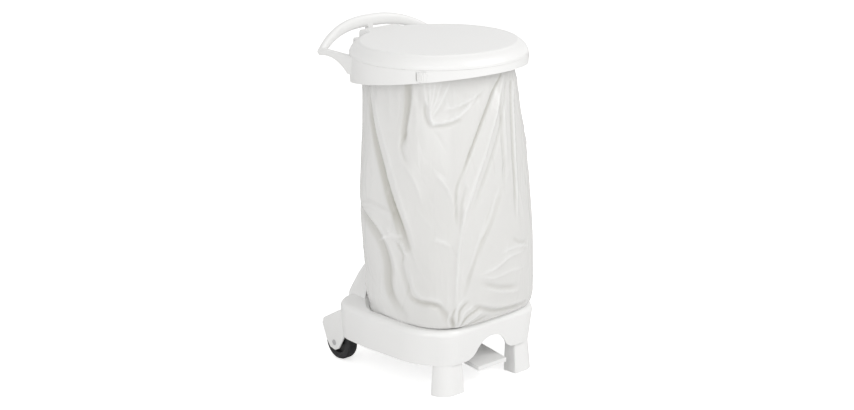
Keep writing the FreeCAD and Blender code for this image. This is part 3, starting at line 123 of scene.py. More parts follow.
@dataclass(frozen=True)
class Finish:
    """One finish of the holder.

    Args:
        name: name of the material.
        color: base colour, linear.
        roughness: roughness of the surface.
        metallic: 1 for metal, else 0.
        coat: weight of the clear coat.
        subsurface: weight of the light that passes under the surface.
        relief: kind of fine relief.
        coat_roughness: roughness of the clear coat.
        ior: index of refraction.
        scatter: how far light passes under the surface, in metres.
    """

    name: str
    color: tuple[float, float, float]
    roughness: float
    metallic: float = 0.0
    coat: float = 0.0
    subsurface: float = 0.0
    relief: Surface = Surface.NONE
    coat_roughness: float = 0.25
    ior: float = 1.49
    scatter: float = 0.012

    def build(self) -> bpy.types.Material:
        """Make the material.

        Returns:
            The new material.
        """
        material = bpy.data.materials.new(self.name)
        material.use_nodes = True
        nodes, links = material.node_tree.nodes, material.node_tree.links
        shader = nodes["Principled BSDF"]
        shader.inputs["Base Color"].default_value = (*self.color, 1.0)
        shader.inputs["Roughness"].default_value = self.roughness
        shader.inputs["Metallic"].default_value = self.metallic
        shader.inputs["Coat Weight"].default_value = self.coat
        shader.inputs["Coat Roughness"].default_value = self.coat_roughness
        shader.inputs["IOR"].default_value = self.ior
        if self.subsurface > 0:
            shader.inputs["Subsurface Weight"].default_value = self.subsurface
            shader.inputs["Subsurface Radius"].default_value = (1.0, 1.0, 1.0)
            shader.inputs["Subsurface Scale"].default_value = self.scatter
        if self.relief is not Surface.NONE:
            self._add_relief(nodes, links, shader)
        if self.relief is Surface.FILM:
            self._add_painted_light(nodes, links, shader)
        return material

    def _add_painted_light(self, nodes: bpy.types.Nodes, links: bpy.types.NodeLinks,
                  shader: bpy.types.Node) -> None:
        """Paint light and shade on the film by the attribute painted_film_light: painted shade in
        the folds, where it lies double, darker and warmer, and painted highlights and light towards
        BACKLIT.

        Args:
            nodes: the material's nodes.
            links: the material's links.
            shader: the shader whose colour is driven.
        """
        tone = nodes.new("ShaderNodeAttribute")
        tone.attribute_name = "painted_film_light"
        place = nodes.new("ShaderNodeMapRange")
        place.inputs["From Min"].default_value = -TONE_REACH
        place.inputs["From Max"].default_value = TONE_REACH
        ramp = nodes.new("ShaderNodeValToRGB")
        # The ramp runs from painted fold shade, through the film's own colour, to painted highlight.
        low, high = ramp.color_ramp.elements
        low.color = (*(part * share for part, share in zip(self.color, FOLD_SHADE)), 1.0)
        high.color = (*BACKLIT, 1.0)
        plain = ramp.color_ramp.elements.new(0.5)
        plain.color = (*self.color, 1.0)
        links.new(tone.outputs["Fac"], place.inputs["Value"])
        links.new(place.outputs["Result"], ramp.inputs["Fac"])
        links.new(ramp.outputs["Color"], shader.inputs["Base Color"])

    def _add_relief(self, nodes: bpy.types.Nodes, links: bpy.types.NodeLinks,
                    shader: bpy.types.Node) -> None:
        """Drive the shader's normal with a fine noise on Object coordinates.

        Args:
            nodes: the material's nodes.
            links: the material's links.
            shader: the shader whose normal is driven.
        """
        relief = RELIEFS[self.relief]
        place = nodes.new("ShaderNodeTexCoord")
        mapping = nodes.new("ShaderNodeMapping")
        mapping.inputs["Scale"].default_value = relief.stretch
        noise = nodes.new("ShaderNodeTexNoise")
        noise.inputs["Scale"].default_value = relief.scale
        noise.inputs["Detail"].default_value = 3.0
        bump = nodes.new("ShaderNodeBump")
        bump.inputs["Strength"].default_value = relief.strength
        bump.inputs["Distance"].default_value = relief.distance
        links.new(place.outputs["Object"], mapping.inputs["Vector"])
        links.new(mapping.outputs["Vector"], noise.inputs["Vector"])
        links.new(noise.outputs["Fac"], bump.inputs["Height"])
        if self.relief is Surface.FILM:
            crumple = self._crumple(nodes, links, place)
            links.new(crumple.outputs["Normal"], bump.inputs["Normal"])
        links.new(bump.outputs["Normal"], shader.inputs["Normal"])

    def _crumple(self, nodes: bpy.types.Nodes, links: bpy.types.NodeLinks,
                 place: bpy.types.Node) -> bpy.types.Node:
        """Small flats with soft creases between them, longer upwards than across.

        Args:
            nodes: the material's nodes.
            links: the material's links.
            place: the node that gives Object coordinates.

        Returns:
            The bump node that carries the relief.
        """
        mapping = nodes.new("ShaderNodeMapping")
        mapping.inputs["Scale"].default_value = (1.0, 1.0, 0.45)
        mapping.inputs["Rotation"].default_value = (0.25, 0.2, 0.0)
        wander = nodes.new("ShaderNodeTexNoise")
        wander.inputs["Scale"].default_value = 9.0
        wander.inputs["Detail"].default_value = 2.0
        spread = nodes.new("ShaderNodeVectorMath")
        spread.operation = "MULTIPLY_ADD"
        spread.inputs[1].default_value = (0.05, 0.05, 0.05)
        cells = nodes.new("ShaderNodeTexVoronoi")
        cells.feature = "DISTANCE_TO_EDGE"
        cells.inputs["Scale"].default_value = 26.0
        bump = nodes.new("ShaderNodeBump")
        bump.inputs["Strength"].default_value = 0.32
        bump.inputs["Distance"].default_value = 0.004
        links.new(place.outputs["Object"], mapping.inputs["Vector"])
        links.new(place.outputs["Object"], wander.inputs["Vector"])
        links.new(wander.outputs["Color"], spread.inputs[0])
        links.new(mapping.outputs["Vector"], spread.inputs[2])
        links.new(spread.outputs["Vector"], cells.inputs["Vector"])
        links.new(cells.outputs["Distance"], bump.inputs["Height"])
        return bump


WHITE = Finish("white_moulding", (0.86, 0.86, 0.855), 0.34, coat=0.12, subsurface=0.04,
               relief=Surface.MOULDED)
FILM = Finish("bag_film", (0.80, 0.797, 0.782), 0.22, coat=0.10, subsurface=0.12,
              relief=Surface.FILM)
TREAD = Finish("tread_rubber", (0.018, 0.018, 0.02), 0.62, relief=Surface.MOULDED)
BLACK = Finish("black_plastic", (0.022, 0.022, 0.024), 0.42, relief=Surface.MOULDED)
STEEL = Finish("steel", (0.60, 0.60, 0.61), 0.30, metallic=1.0, relief=Surface.BRUSHED)


def finish_object(name: str, bm: bmesh.types.BMesh, material: bpy.types.Material,
                  sharp: float = 35.0) -> bpy.types.Object:
    """Turn a bmesh into a linked object with smooth faces and sharp corners.

    Args:
        name: name of the piece.
        bm: the geometry, freed here.
        material: its finish.
        sharp: angle in degrees over which an edge stays sharp.

    Returns:
        The new object.
    """
    for face in bm.faces:
        face.smooth = True
    for edge in bm.edges:
        if len(edge.link_faces) == 2 and edge.calc_face_angle(0.0) > math.radians(sharp):
            edge.smooth = False
    mesh = bpy.data.meshes.new(name)
    bm.to_mesh(mesh)
    bm.free()
    mesh.materials.append(material)
    piece = bpy.data.objects.new(name, mesh)
    bpy.context.scene.collection.objects.link(piece)
    return piece


@dataclass
class Moulding:
    """A CAD node dressed as a moulding: its faces joined, its sharp edges eased.

    Args:
        node: the CAD node that it stands for.
        body: the CAD body that it rides on.
        slot: the record's material slot; not used.
        ease: radius in millimetres of the eased edges, 0 for none.
        corner: angle in degrees over which an edge is eased.
    """

    node: str
    body: str
    slot: str = "white_moulding"
    ease: float = 0.0
    corner: float = 50.0

    def build(self, nodes: dict[str, bpy.types.Object],
              material: bpy.types.Material) -> bpy.types.Object:
        """Copy the node's mesh, ease its edges and stand for it.

        Args:
            nodes: the CAD nodes by name.
            material: its finish.

        Returns:
            The finished piece.
        """
        bm = bmesh.new()
        bm.from_mesh(nodes[self.node].data)
        bmesh.ops.remove_doubles(bm, verts=bm.verts, dist=WELD * MM)
        bmesh.ops.dissolve_limit(bm, angle_limit=math.radians(FLAT_ANGLE), verts=bm.verts,
                                 edges=bm.edges, use_dissolve_boundaries=False)
        if self.ease > 0:
            corners = [edge for edge in bm.edges if len(edge.link_faces) == 2
                       and edge.calc_face_angle(0.0) > math.radians(self.corner)]
            bmesh.ops.bevel(bm, geom=corners, offset=self.ease * MM, offset_type="OFFSET",
                            segments=2, profile=0.5, affect="EDGES", clamp_overlap=True,
                            material=-1)
        piece = finish_object(f"{self.node}_moulding", bm, material)
        weigh = piece.modifiers.new("weigh_normals", "WEIGHTED_NORMAL")
        weigh.keep_sharp = True
        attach(piece, self.body)
        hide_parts(self.node)
        return piece


def eased(places: np.ndarray, stations: np.ndarray, values: np.ndarray) -> np.ndarray:
    """Read a table of values along a curve without kinks or overshoot.

    Args:
        places: where the curve is read.
        stations: rising stations of the table.
        values: the values there.

    Returns:
        The value at each place.
    """
    gaps = np.diff(stations)
    rises = np.diff(values) / gaps
    slopes = np.zeros(len(stations))
    slopes[0], slopes[-1] = rises[0], rises[-1]
    same = rises[:-1] * rises[1:] > 0
    mean = 2 * rises[:-1] * rises[1:] / np.where(same, rises[:-1] + rises[1:], 1.0)
    slopes[1:-1] = np.where(same, mean, 0.0)
    index = np.clip(np.searchsorted(stations, places) - 1, 0, len(gaps) - 1)
    gap = gaps[index]
    t = np.clip((places - stations[index]) / gap, 0, 1)
    start, end = values[index], values[index + 1]
    return (start * (1 + 2 * t) * (1 - t) ** 2 + end * t * t * (3 - 2 * t)
            + slopes[index] * gap * t * (1 - t) ** 2 - slopes[index + 1] * gap * t * t * (1 - t))


@dataclass(frozen=True)
class Fold:
    """A fold in the film along a line.

    Args:
        points: pairs of angle in degrees about the bag's axis and height in millimetres.
        depth: how far it stands out in millimetres, negative inwards.
        width: reach to each side in millimetres.
        across: shape across the line.
        ends: share of the depth left at the first and last point.
        tone: painted light on the line: painted shade in the fold, where the film lies double, if
        negative, and a painted highlight on its ridge if positive.
        band: reach to each side of that shade in millimetres, 0 for the fold's width.
    """

    points: tuple[tuple[float, float], ...]
    depth: float
    width: float
    across: Across = Across.CREASE
    ends: tuple[float, float] = (0.2, 0.1)
    tone: float = 0.0
    band: float = 0.0

    def line(self, steps: int = 4) -> np.ndarray:
        """The fold's line as a smooth curve through its points.

        Args:
            steps: number of steps between two points.

        Returns:
            Pairs of place along the girth and height, in millimetres.
        """
        points = np.array([(angle * GIRTH_STEP, z) for angle, z in self.points])
        if len(points) < 3:
            return points
        padded = np.vstack([2 * points[0] - points[1], points, 2 * points[-1] - points[-2]])
        shares = np.linspace(0, 1, steps, endpoint=False)[:, None]
        curve = []
        for before, start, end, after in zip(padded, padded[1:], padded[2:], padded[3:]):
            curve.append(start + shares * (end - before) / 2
                         + shares ** 2 * (2 * before - 5 * start + 4 * end - after) / 2
                         + shares ** 3 * (3 * start - before - 3 * end + after) / 2)
        return np.vstack([*curve, points[-1]])

    def press(self, arc: np.ndarray, level: np.ndarray) -> tuple[np.ndarray, np.ndarray]:
        """Height of the fold, and the painted light and shade on it, at places on the film.

        Args:
            arc: place along the bag's girth in millimetres.
            level: height above the floor in millimetres.

        Returns:
            The film's shift outwards in millimetres and its painted light and shade at each place.
        """
        line = self.line()
        lengths = np.hypot(*(line[1:] - line[:-1]).T)
        total = lengths.sum()
        nearest = np.full(arc.shape, 1e9)
        signed = np.zeros(arc.shape)
        share = np.zeros(arc.shape)
        passed = 0.0
        for start, end, length in zip(line[:-1], line[1:], lengths):
            along = (end - start) / length
            reach_x, reach_z = arc - start[0], level - start[1]
            on = np.clip(reach_x * along[0] + reach_z * along[1], 0, length)
            off_x, off_z = reach_x - on * along[0], reach_z - on * along[1]
            distance = np.hypot(off_x, off_z)
            closer = distance < nearest
            side = np.sign(reach_z * along[0] - reach_x * along[1])
            nearest = np.where(closer, distance, nearest)
            signed = np.where(closer, side * distance, signed)
            share = np.where(closer, (passed + on) / total, share)
            passed += length
        first, last = self.ends
        swell = np.minimum(1.0, np.minimum(first + share * END_STEEPNESS * (1 - first),
                                           last + (1 - share) * END_STEEPNESS * (1 - last)))
        reach = self.band or self.width
        # Painted shade where the tone is negative, painted highlight where it is positive.
        shade = self.tone * swell * np.exp(-((nearest / reach) ** 4))
        return self.depth * swell * self._profile(nearest, signed), shade

    def _profile(self, nearest: np.ndarray, signed: np.ndarray) -> np.ndarray:
        """Height across the line, as a share of the depth.

        Args:
            nearest: distance from the line in millimetres.
            signed: the same, negative on the line's right.

        Returns:
            The share at each place.
        """
        if self.across is Across.VALLEY:
            return np.exp(-((nearest / self.width) ** 2))
        if self.across is Across.CREASE:
            return np.exp(-np.hypot(nearest, CREASE_ROUND) / self.width)
        return 0.5 * np.tanh(signed / self.width) * np.exp(-nearest / (5 * self.width))


# The wide dark band that runs down the left, and the short one beside it.
LEFT_BANDS: tuple[Fold, ...] = (
    Fold(((-199, 790), (-190, 701), (-180.5, 622), (-174, 566), (-167.5, 510), (-161, 452),
          (-157, 398)), 11, 5.5, Across.FLANK, (0.3, 0.4), -0.10, 5),
    Fold(((-202.5, 790), (-193.4, 701), (-184, 622), (-177.5, 566), (-171, 510), (-164.5, 452),
          (-160, 398)), -6, 9, Across.VALLEY, (0.2, 0.4), -0.34, 17),
    Fold(((-193, 790), (-182.5, 701), (-173, 622), (-167, 566), (-161.5, 510), (-156, 452),
          (-153, 400)), 3, 2.6, Across.CREASE, (0.3, 0.4), 0.09, 3),
    Fold(((-155.5, 815), (-157.4, 756), (-160, 701), (-161, 650)), -6, 8, Across.VALLEY,
         (0.9, 0.1), -0.22, 12),
    Fold(((-150.5, 815), (-153.4, 756), (-157, 701), (-159, 650)), 2.4, 2.6, Across.CREASE,
         (0.9, 0.1), 0.07, 2.8),
    Fold(((-158, 690), (-163, 655), (-158, 610)), -2.5, 5, Across.VALLEY, (0.3, 0.1), -0.10, 5),
)

# The fan that hangs from the left clip, with the curved crease under it.
CLIP_FAN: tuple[Fold, ...] = (
    Fold(((-143, 812), (-142.4, 774), (-139.7, 755)), 2.4, 3.0, Across.CREASE, (1.0, 0.3),
         0.16, 2.6),
    Fold(((-139.1, 812), (-139.4, 757)), 2.4, 2.6, Across.CREASE, (1.0, 0.3), 0.14, 2.4),
    Fold(((-135, 812), (-138.6, 755)), 2.4, 2.6, Across.CREASE, (1.0, 0.3), 0.16, 2.4),
    Fold(((-130.7, 812), (-134.7, 775), (-138.7, 745)), 2.6, 3.0, Across.CREASE, (1.0, 0.3),
         0.13, 2.6),
    Fold(((-124.7, 812), (-131.5, 769), (-138.3, 733)), 2.8, 3.4, Across.CREASE, (1.0, 0.3),
         0.16, 2.8),
    Fold(((-139.7, 755), (-139.5, 728), (-137.8, 717)), 3.2, 3.4, Across.CREASE, (0.5, 0.8),
         0.24, 3.2),
    Fold(((-143.5, 765), (-144, 735), (-141, 708)), -3.4, 4.5, Across.CREASE, (0.3, 0.3),
         -0.10, 4),
    Fold(((-137.8, 717), (-130.2, 721), (-121.4, 730), (-114.3, 747), (-104.6, 776)), 4.2, 4.0,
         Across.CREASE, (0.8, 0.1), 0.26, 3.0),
    Fold(((-137, 708), (-128, 712), (-117, 726)), -3.4, 5, Across.VALLEY, (0.6, 0.1), -0.08, 5),
    Fold(((-129, 752), (-120.8, 758), (-108.2, 774), (-99, 793)), 3.0, 4, Across.CREASE,
         (0.3, 0.2), 0.15, 3.0),
    Fold(((-122, 748), (-108.2, 764), (-97.2, 790)), -3.5, 6, Across.VALLEY, (0.2, 0.1),
         -0.05, 6),
)

# The long diagonal from the front of the ring down to the left, and the upright pleats by it.
FRONT_DIAGONAL: tuple[Fold, ...] = (
    Fold(((-79.3, 818), (-90.3, 772), (-99.8, 722), (-109.7, 662), (-116.6, 614), (-120.7, 581)),
         -11, 5.5, Across.CREASE, (1.0, 0.2), -0.20, 4.5),
    Fold(((-120.7, 590), (-124.2, 552), (-125, 501), (-124.7, 460)), -3.4, 4, Across.CREASE,
         (0.3, 0.1), -0.11, 4),
    Fold(((-75.5, 812), (-86, 746), (-94, 696), (-101, 644), (-108.5, 587), (-115.5, 524),
          (-120.5, 475), (-124, 398), (-125.8, 320), (-126.6, 250)), 7.5, 5.0, Across.CREASE,
         (0.9, 0.3), 0.14, 3.6),
    Fold(((-71.5, 790), (-81, 720), (-92, 650), (-104, 570), (-113, 500)), -4, 5, Across.VALLEY,
         (0.6, 0.2), -0.06, 5),
    Fold(((-61.7, 789), (-67.3, 722), (-73, 624), (-74.4, 574), (-76.4, 450)), -6.5, 3.6,
         Across.CREASE, (1.0, 0.1), -0.13, 4.5),
    Fold(((-58.5, 789), (-64.5, 722), (-70.5, 624), (-72, 574), (-74.4, 450)), 5.5, 4.2,
         Across.CREASE, (1.0, 0.1), 0.14, 3.2),
    Fold(((-80.3, 800), (-84.3, 683), (-85.5, 593), (-87, 532)), -4.0, 6, Across.VALLEY,
         (0.6, 0.3), -0.06, 6),
    Fold(((-76, 800), (-80, 690), (-82, 600)), 2.4, 3, Across.CREASE, (0.6, 0.2), 0.07, 3),
)

# What the lower front is drawn into: long slants, then the level creases on the right.
LOWER_FRONT: tuple[Fold, ...] = (
    Fold(((-89, 540), (-99.3, 469), (-108, 412), (-111.4, 380)), 8, 5.5, Across.FLANK,
         (0.2, 0.1), -0.08, 5),
    Fold(((-92, 545), (-102, 470), (-111, 408)), 3.4, 3.4, Across.CREASE, (0.2, 0.1), 0.10, 3),
    Fold(((-96.4, 518), (-106, 442), (-114.1, 368), (-121.4, 275)), 7, 5, Across.FLANK,
         (0.2, 0.1), -0.08, 5),
    Fold(((-104, 470), (-112, 400), (-119, 330)), 2.6, 3, Across.CREASE, (0.2, 0.1), 0.09, 3),
    Fold(((-118, 560), (-121.5, 500), (-122.5, 430), (-124.5, 360)), -3, 4, Across.CREASE,
         (0.2, 0.1), -0.08, 4),
    Fold(((-109.9, 329), (-96.8, 338), (-83.7, 356), (-67.6, 356)), 4.6, 5.0, Across.CREASE,
         (0.2, 0.3), 0.16, 4),
    Fold(((-92, 372), (-82, 376), (-70, 372), (-60, 360)), 3.4, 4, Across.CREASE, (0.1, 0.5),
         0.17, 3.6),
    Fold(((-80, 400), (-72, 382), (-62, 372)), -3, 5, Across.VALLEY, (0.2, 0.2), -0.07, 5),
    Fold(((-109.9, 323), (-98.5, 312), (-81.4, 316), (-67.3, 310)), 3.6, 4.5, Across.CREASE,
         (0.2, 0.3), 0.12, 3.6),
    Fold(((-108.4, 301), (-92.4, 277), (-73.6, 264)), -4.6, 7, Across.VALLEY, (0.2, 0.2),
         -0.07, 7),
    Fold(((-104, 285), (-88, 262), (-70, 250)), 3.0, 4, Across.CREASE, (0.2, 0.2), 0.08, 3.4),
)

# The gathered corner over the tray's rim.
FOOT_CORNER: tuple[Fold, ...] = (
    Fold(((-124.9, 185), (-126.3, 239), (-121.3, 270)), 4.4, 3.4, Across.CREASE, (0.8, 0.1),
         0.20, 3),
    Fold(((-124.1, 185), (-121.1, 229), (-113.3, 249)), 4.4, 3.4, Across.CREASE, (0.8, 0.1),
         0.18, 3),
    Fold(((-122.9, 187), (-115.6, 207), (-107.5, 225)), 4.2, 3.2, Across.CREASE, (0.8, 0.1),
         0.22, 3),
    Fold(((-122.5, 190), (-118.5, 218), (-109, 238)), -4.4, 3.0, Across.CREASE, (0.5, 0.1),
         -0.20, 3),
    Fold(((-125, 195), (-124.2, 235), (-118, 262)), -4.0, 3.0, Across.CREASE, (0.5, 0.1),
         -0.17, 3),
    Fold(((-127.5, 190), (-129, 222), (-126, 250)), -3.6, 3.0, Across.CREASE, (0.5, 0.1),
         -0.14, 3),
    Fold(((-129.5, 188), (-131.5, 210), (-130, 236)), 3.4, 3.0, Across.CREASE, (0.6, 0.1),
         0.16, 2.8),
    Fold(((-121, 186), (-112, 196), (-102, 208)), -3.8, 3.4, Across.CREASE, (0.6, 0.1),
         -0.16, 3.2),
)

# The curved valleys and the pinch low on the left.
LOWER_LEFT: tuple[Fold, ...] = (
    Fold(((-125.2, 188), (-132, 217), (-137, 246), (-142.3, 253), (-150.7, 254), (-158.4, 262),
          (-161.5, 293), (-164.9, 345), (-165.6, 392)), -3.4, 7, Across.VALLEY, (0.8, 0.3),
         -0.11, 10),
    Fold(((-137, 246), (-142.3, 253), (-150.7, 254), (-158.4, 262)), -4.5, 4, Across.CREASE,
         (0.3, 0.3), -0.08, 4),
    Fold(((-133, 240), (-139, 264), (-150, 270), (-155, 290), (-158, 340)), 3.6, 4,
         Across.CREASE, (0.2, 0.2), 0.10, 4),
    Fold(((-214, 467), (-199.5, 446), (-189, 419), (-181.5, 384), (-178, 333), (-179.5, 282),
          (-175.5, 241), (-166, 208)), -5, 12, Across.VALLEY, (0.4, 0.3), -0.26, 20),
    Fold(((-210, 480), (-193, 452), (-181, 424), (-173.5, 388), (-170, 338), (-171, 285)), 5, 5,
         Across.CREASE, (0.3, 0.2), 0.06, 5),
    Fold(((-205, 480), (-193.6, 490), (-177.6, 483), (-168, 470)), -4, 7, Across.VALLEY,
         (0.2, 0.2), -0.05, 7),
    Fold(((-186, 396), (-172.9, 419), (-167.5, 406)), 4.0, 3.6, Across.CREASE, (0.2, 0.2),
         0.16, 3),
    Fold(((-164.1, 412), (-161.6, 387), (-158.9, 372)), 3.6, 3.2, Across.CREASE, (0.3, 0.2),
         0.18, 3),
    Fold(((-177.5, 436), (-171.4, 424), (-162.6, 423)), 3.4, 3.4, Across.CREASE, (0.2, 0.3),
         0.14, 3),
    Fold(((-170, 414), (-165.5, 395)), -4.0, 3.4, Across.CREASE, (0.4, 0.4), -0.16, 3.4),
    Fold(((-168, 398), (-163, 376), (-164, 352)), -3.6, 3.4, Across.CREASE, (0.4, 0.3),
         -0.12, 3.4),
    Fold(((-141.3, 425), (-134.9, 418), (-128.5, 409)), 2.2, 5, Across.CREASE, (0.2, 0.2),
         0.09, 4),
    Fold(((-137, 590), (-130, 556), (-127, 522)), 2.2, 3.4, Across.CREASE, (0.2, 0.2), 0.09, 3),
    Fold(((-114.1, 243), (-93, 213), (-60.9, 202)), -5.5, 6, Across.VALLEY, (0.4, 0.4),
         -0.12, 6),
    Fold(((-111, 252), (-92, 226), (-62, 216)), 3.4, 4.5, Across.CREASE, (0.3, 0.3), 0.08, 4),
)

# The right side and the rear, which the photo shows only at its edge or hides.
FAR_SIDES: tuple[Fold, ...] = (
    Fold(((-45, 812), (-40, 700), (-44, 560), (-52, 430)), -7, 7, Across.VALLEY, (1.0, 0.1),
         -0.10, 7),
    Fold(((-36, 812), (-33, 690), (-37, 570)), 5, 5, Across.CREASE, (1.0, 0.1), 0.10, 4),
    Fold(((-8, 812), (-14, 690), (-10, 540), (-20, 380)), 12, 9, Across.FLANK, (0.8, 0.2),
         -0.12, 9),
    Fold(((-20, 380), (-32, 300), (-48, 215)), -8, 8, Across.VALLEY, (0.2, 0.3), -0.12, 8),
    Fold(((-5, 430), (8, 340), (14, 240), (4, 200)), 9, 8, Across.FLANK, (0.2, 0.2), -0.12, 8),
    Fold(((20, 812), (14, 720), (20, 610)), -6, 6, Across.VALLEY, (1.0, 0.1), -0.10, 6),
    Fold(((38, 812), (33, 640), (28, 500), (36, 340)), 12, 7, Across.FLANK, (0.9, 0.2),
         -0.12, 8),
    Fold(((60, 812), (66, 700), (61, 560)), -6, 5, Across.CREASE, (1.0, 0.1), -0.12, 5),
    Fold(((66, 812), (72, 690), (66, 520), (56, 380)), 5, 5, Across.CREASE, (1.0, 0.1),
         0.12, 4),
    Fold(((30, 330), (52, 290), (75, 300), (98, 270)), -6, 8, Across.VALLEY, (0.2, 0.2),
         -0.10, 8),
    Fold(((90, 812), (93, 660), (97, 500), (99, 330)), -6, 9, Across.VALLEY, (0.9, 0.2),
         -0.09, 7),
    Fold(((112, 812), (116, 700), (118, 560)), 4, 5, Across.CREASE, (1.0, 0.1), 0.08, 4),
    Fold(((131, 812), (134, 640), (140, 500), (149, 380)), 9, 8, Across.FLANK, (0.9, 0.2),
         -0.09, 7),
    Fold(((124, 360), (129, 290), (128, 205)), 6, 7, Across.FLANK, (0.2, 0.2), -0.07, 6),
    Fold(((100, 260), (116, 232), (140, 218)), -4, 7, Across.VALLEY, (0.2, 0.2), -0.06, 6),
)

FOLDS: tuple[Fold, ...] = (*LEFT_BANDS, *CLIP_FAN, *FRONT_DIAGONAL, *LOWER_FRONT, *FOOT_CORNER,
                           *LOWER_LEFT, *FAR_SIDES)


@dataclass(frozen=True)
class Creases:
    """Short slight creases all over the film, closest together at its foot and under the ring.

    Args:
        seed: seed of their places.
        count: how many there are.
        girth: first and last angle in degrees.
        lowest: height of the lowest in millimetres.
        rise: height in millimetres over which they are spread.
        gather: how much closer together they lie at the foot and the top.
        lean: spread of their lean in radians.
        lengths: shortest and longest in millimetres.
        bend: spread of their bend, as a share of the length.
        outward: share of them that stands out.
        depths: least and greatest depth in millimetres.
        widths: least and greatest width in millimetres.
        tones: least and greatest painted light: a painted highlight on creases that stand out and
        painted shade in those that sink in.
        band: reach of that shade in millimetres.
    """

    seed: int
    count: int = 140
    girth: tuple[float, float] = (-217.0, 142.0)
    lowest: float = 205.0
    rise: float = 590.0
    gather: float = 0.12
    lean: float = 0.32
    lengths: tuple[float, float] = (40.0, 120.0)
    bend: float = 0.06
    outward: float = 0.62
    depths: tuple[float, float] = (0.5, 1.5)
    widths: tuple[float, float] = (2.4, 4.2)
    tones: tuple[float, float] = (0.01, 0.05)
    band: float = 2.6

    def folds(self) -> list[Fold]:
        """Draw the creases.

        Returns:
            A fold for each.
        """
        draw = np.random.default_rng(self.seed)
        folds = []
        for _ in range(self.count):
            where = draw.uniform(*self.girth)
            place = draw.uniform(0, 1)
            level = self.lowest + self.rise * (place + self.gather * math.sin(2 * math.pi * place))
            lean = draw.normal(0.0, self.lean)
            length = draw.uniform(*self.lengths)
            bend = draw.normal(0.0, self.bend) * length
            across, up = math.sin(lean) * length / GIRTH_STEP, math.cos(lean) * length
            side = 1 if draw.uniform() < self.outward else -1
            points = ((where, level), (where + across / 2 + bend / GIRTH_STEP, level + up / 2),
                      (where + across, level + up))
            # Creases that stand out get a painted highlight, those that sink in painted shade.
            folds.append(Fold(points, side * draw.uniform(*self.depths),
                              draw.uniform(*self.widths), Across.CREASE, (0.1, 0.1),
                              side * draw.uniform(*self.tones), self.band))
        return folds


@dataclass(frozen=True)
class Slack:
    """Broad flats and small pleats of slack film, as waves round the girth.

    Args:
        seed: seed of their places.
        flats: how many broad waves there are.
        flat_turns: fewest of their crests round the girth, and one more than the most.
        flat_tilt: greatest tilt in radians for each millimetre of height.
        flat_size: least and greatest height in millimetres.
        pleats: how many small waves there are.
        pleat_turns: the same as flat_turns for these.
        pleat_tilt: tilt of each in radians for each millimetre of height.
        pleat_size: least and greatest height in millimetres.
        pleat_rise: height above the floor where they begin, and the rise to their full height.
    """

    seed: int
    flats: int = 16
    flat_turns: tuple[int, int] = (3, 11)
    flat_tilt: float = 0.012
    flat_size: tuple[float, float] = (0.2, 0.8)
    pleats: int = 22
    pleat_turns: tuple[int, int] = (26, 60)
    pleat_tilt: float = 0.004
    pleat_size: tuple[float, float] = (0.1, 0.35)
    pleat_rise: tuple[float, float] = (640.0, 180.0)

    def shift(self, arc: np.ndarray, level: np.ndarray) -> np.ndarray:
        """Sum the waves.

        Args:
            arc: place along the girth in millimetres.
            level: height in millimetres.

        Returns:
            The shift outwards in millimetres.
        """
        draw = np.random.default_rng(self.seed)
        around = arc / (360 * GIRTH_STEP) * 2 * math.pi
        total = np.zeros(arc.shape)
        for _ in range(self.flats):
            turns = draw.integers(*self.flat_turns)
            tilt = draw.uniform(-self.flat_tilt, self.flat_tilt)
            phase = draw.uniform(0, 2 * math.pi)
            wave = np.sin(around * turns + level * tilt + phase)
            total += wave * draw.uniform(*self.flat_size)
        start, rise = self.pleat_rise
        top = np.clip((level - start) / rise, 0, 1) ** 2
        for _ in range(self.pleats):
            turns = draw.integers(*self.pleat_turns)
            phase = draw.uniform(0, 2 * math.pi)
            wave = np.sin(around * turns + phase + self.pleat_tilt * level)
            total += wave * top * draw.uniform(*self.pleat_size)
        return total


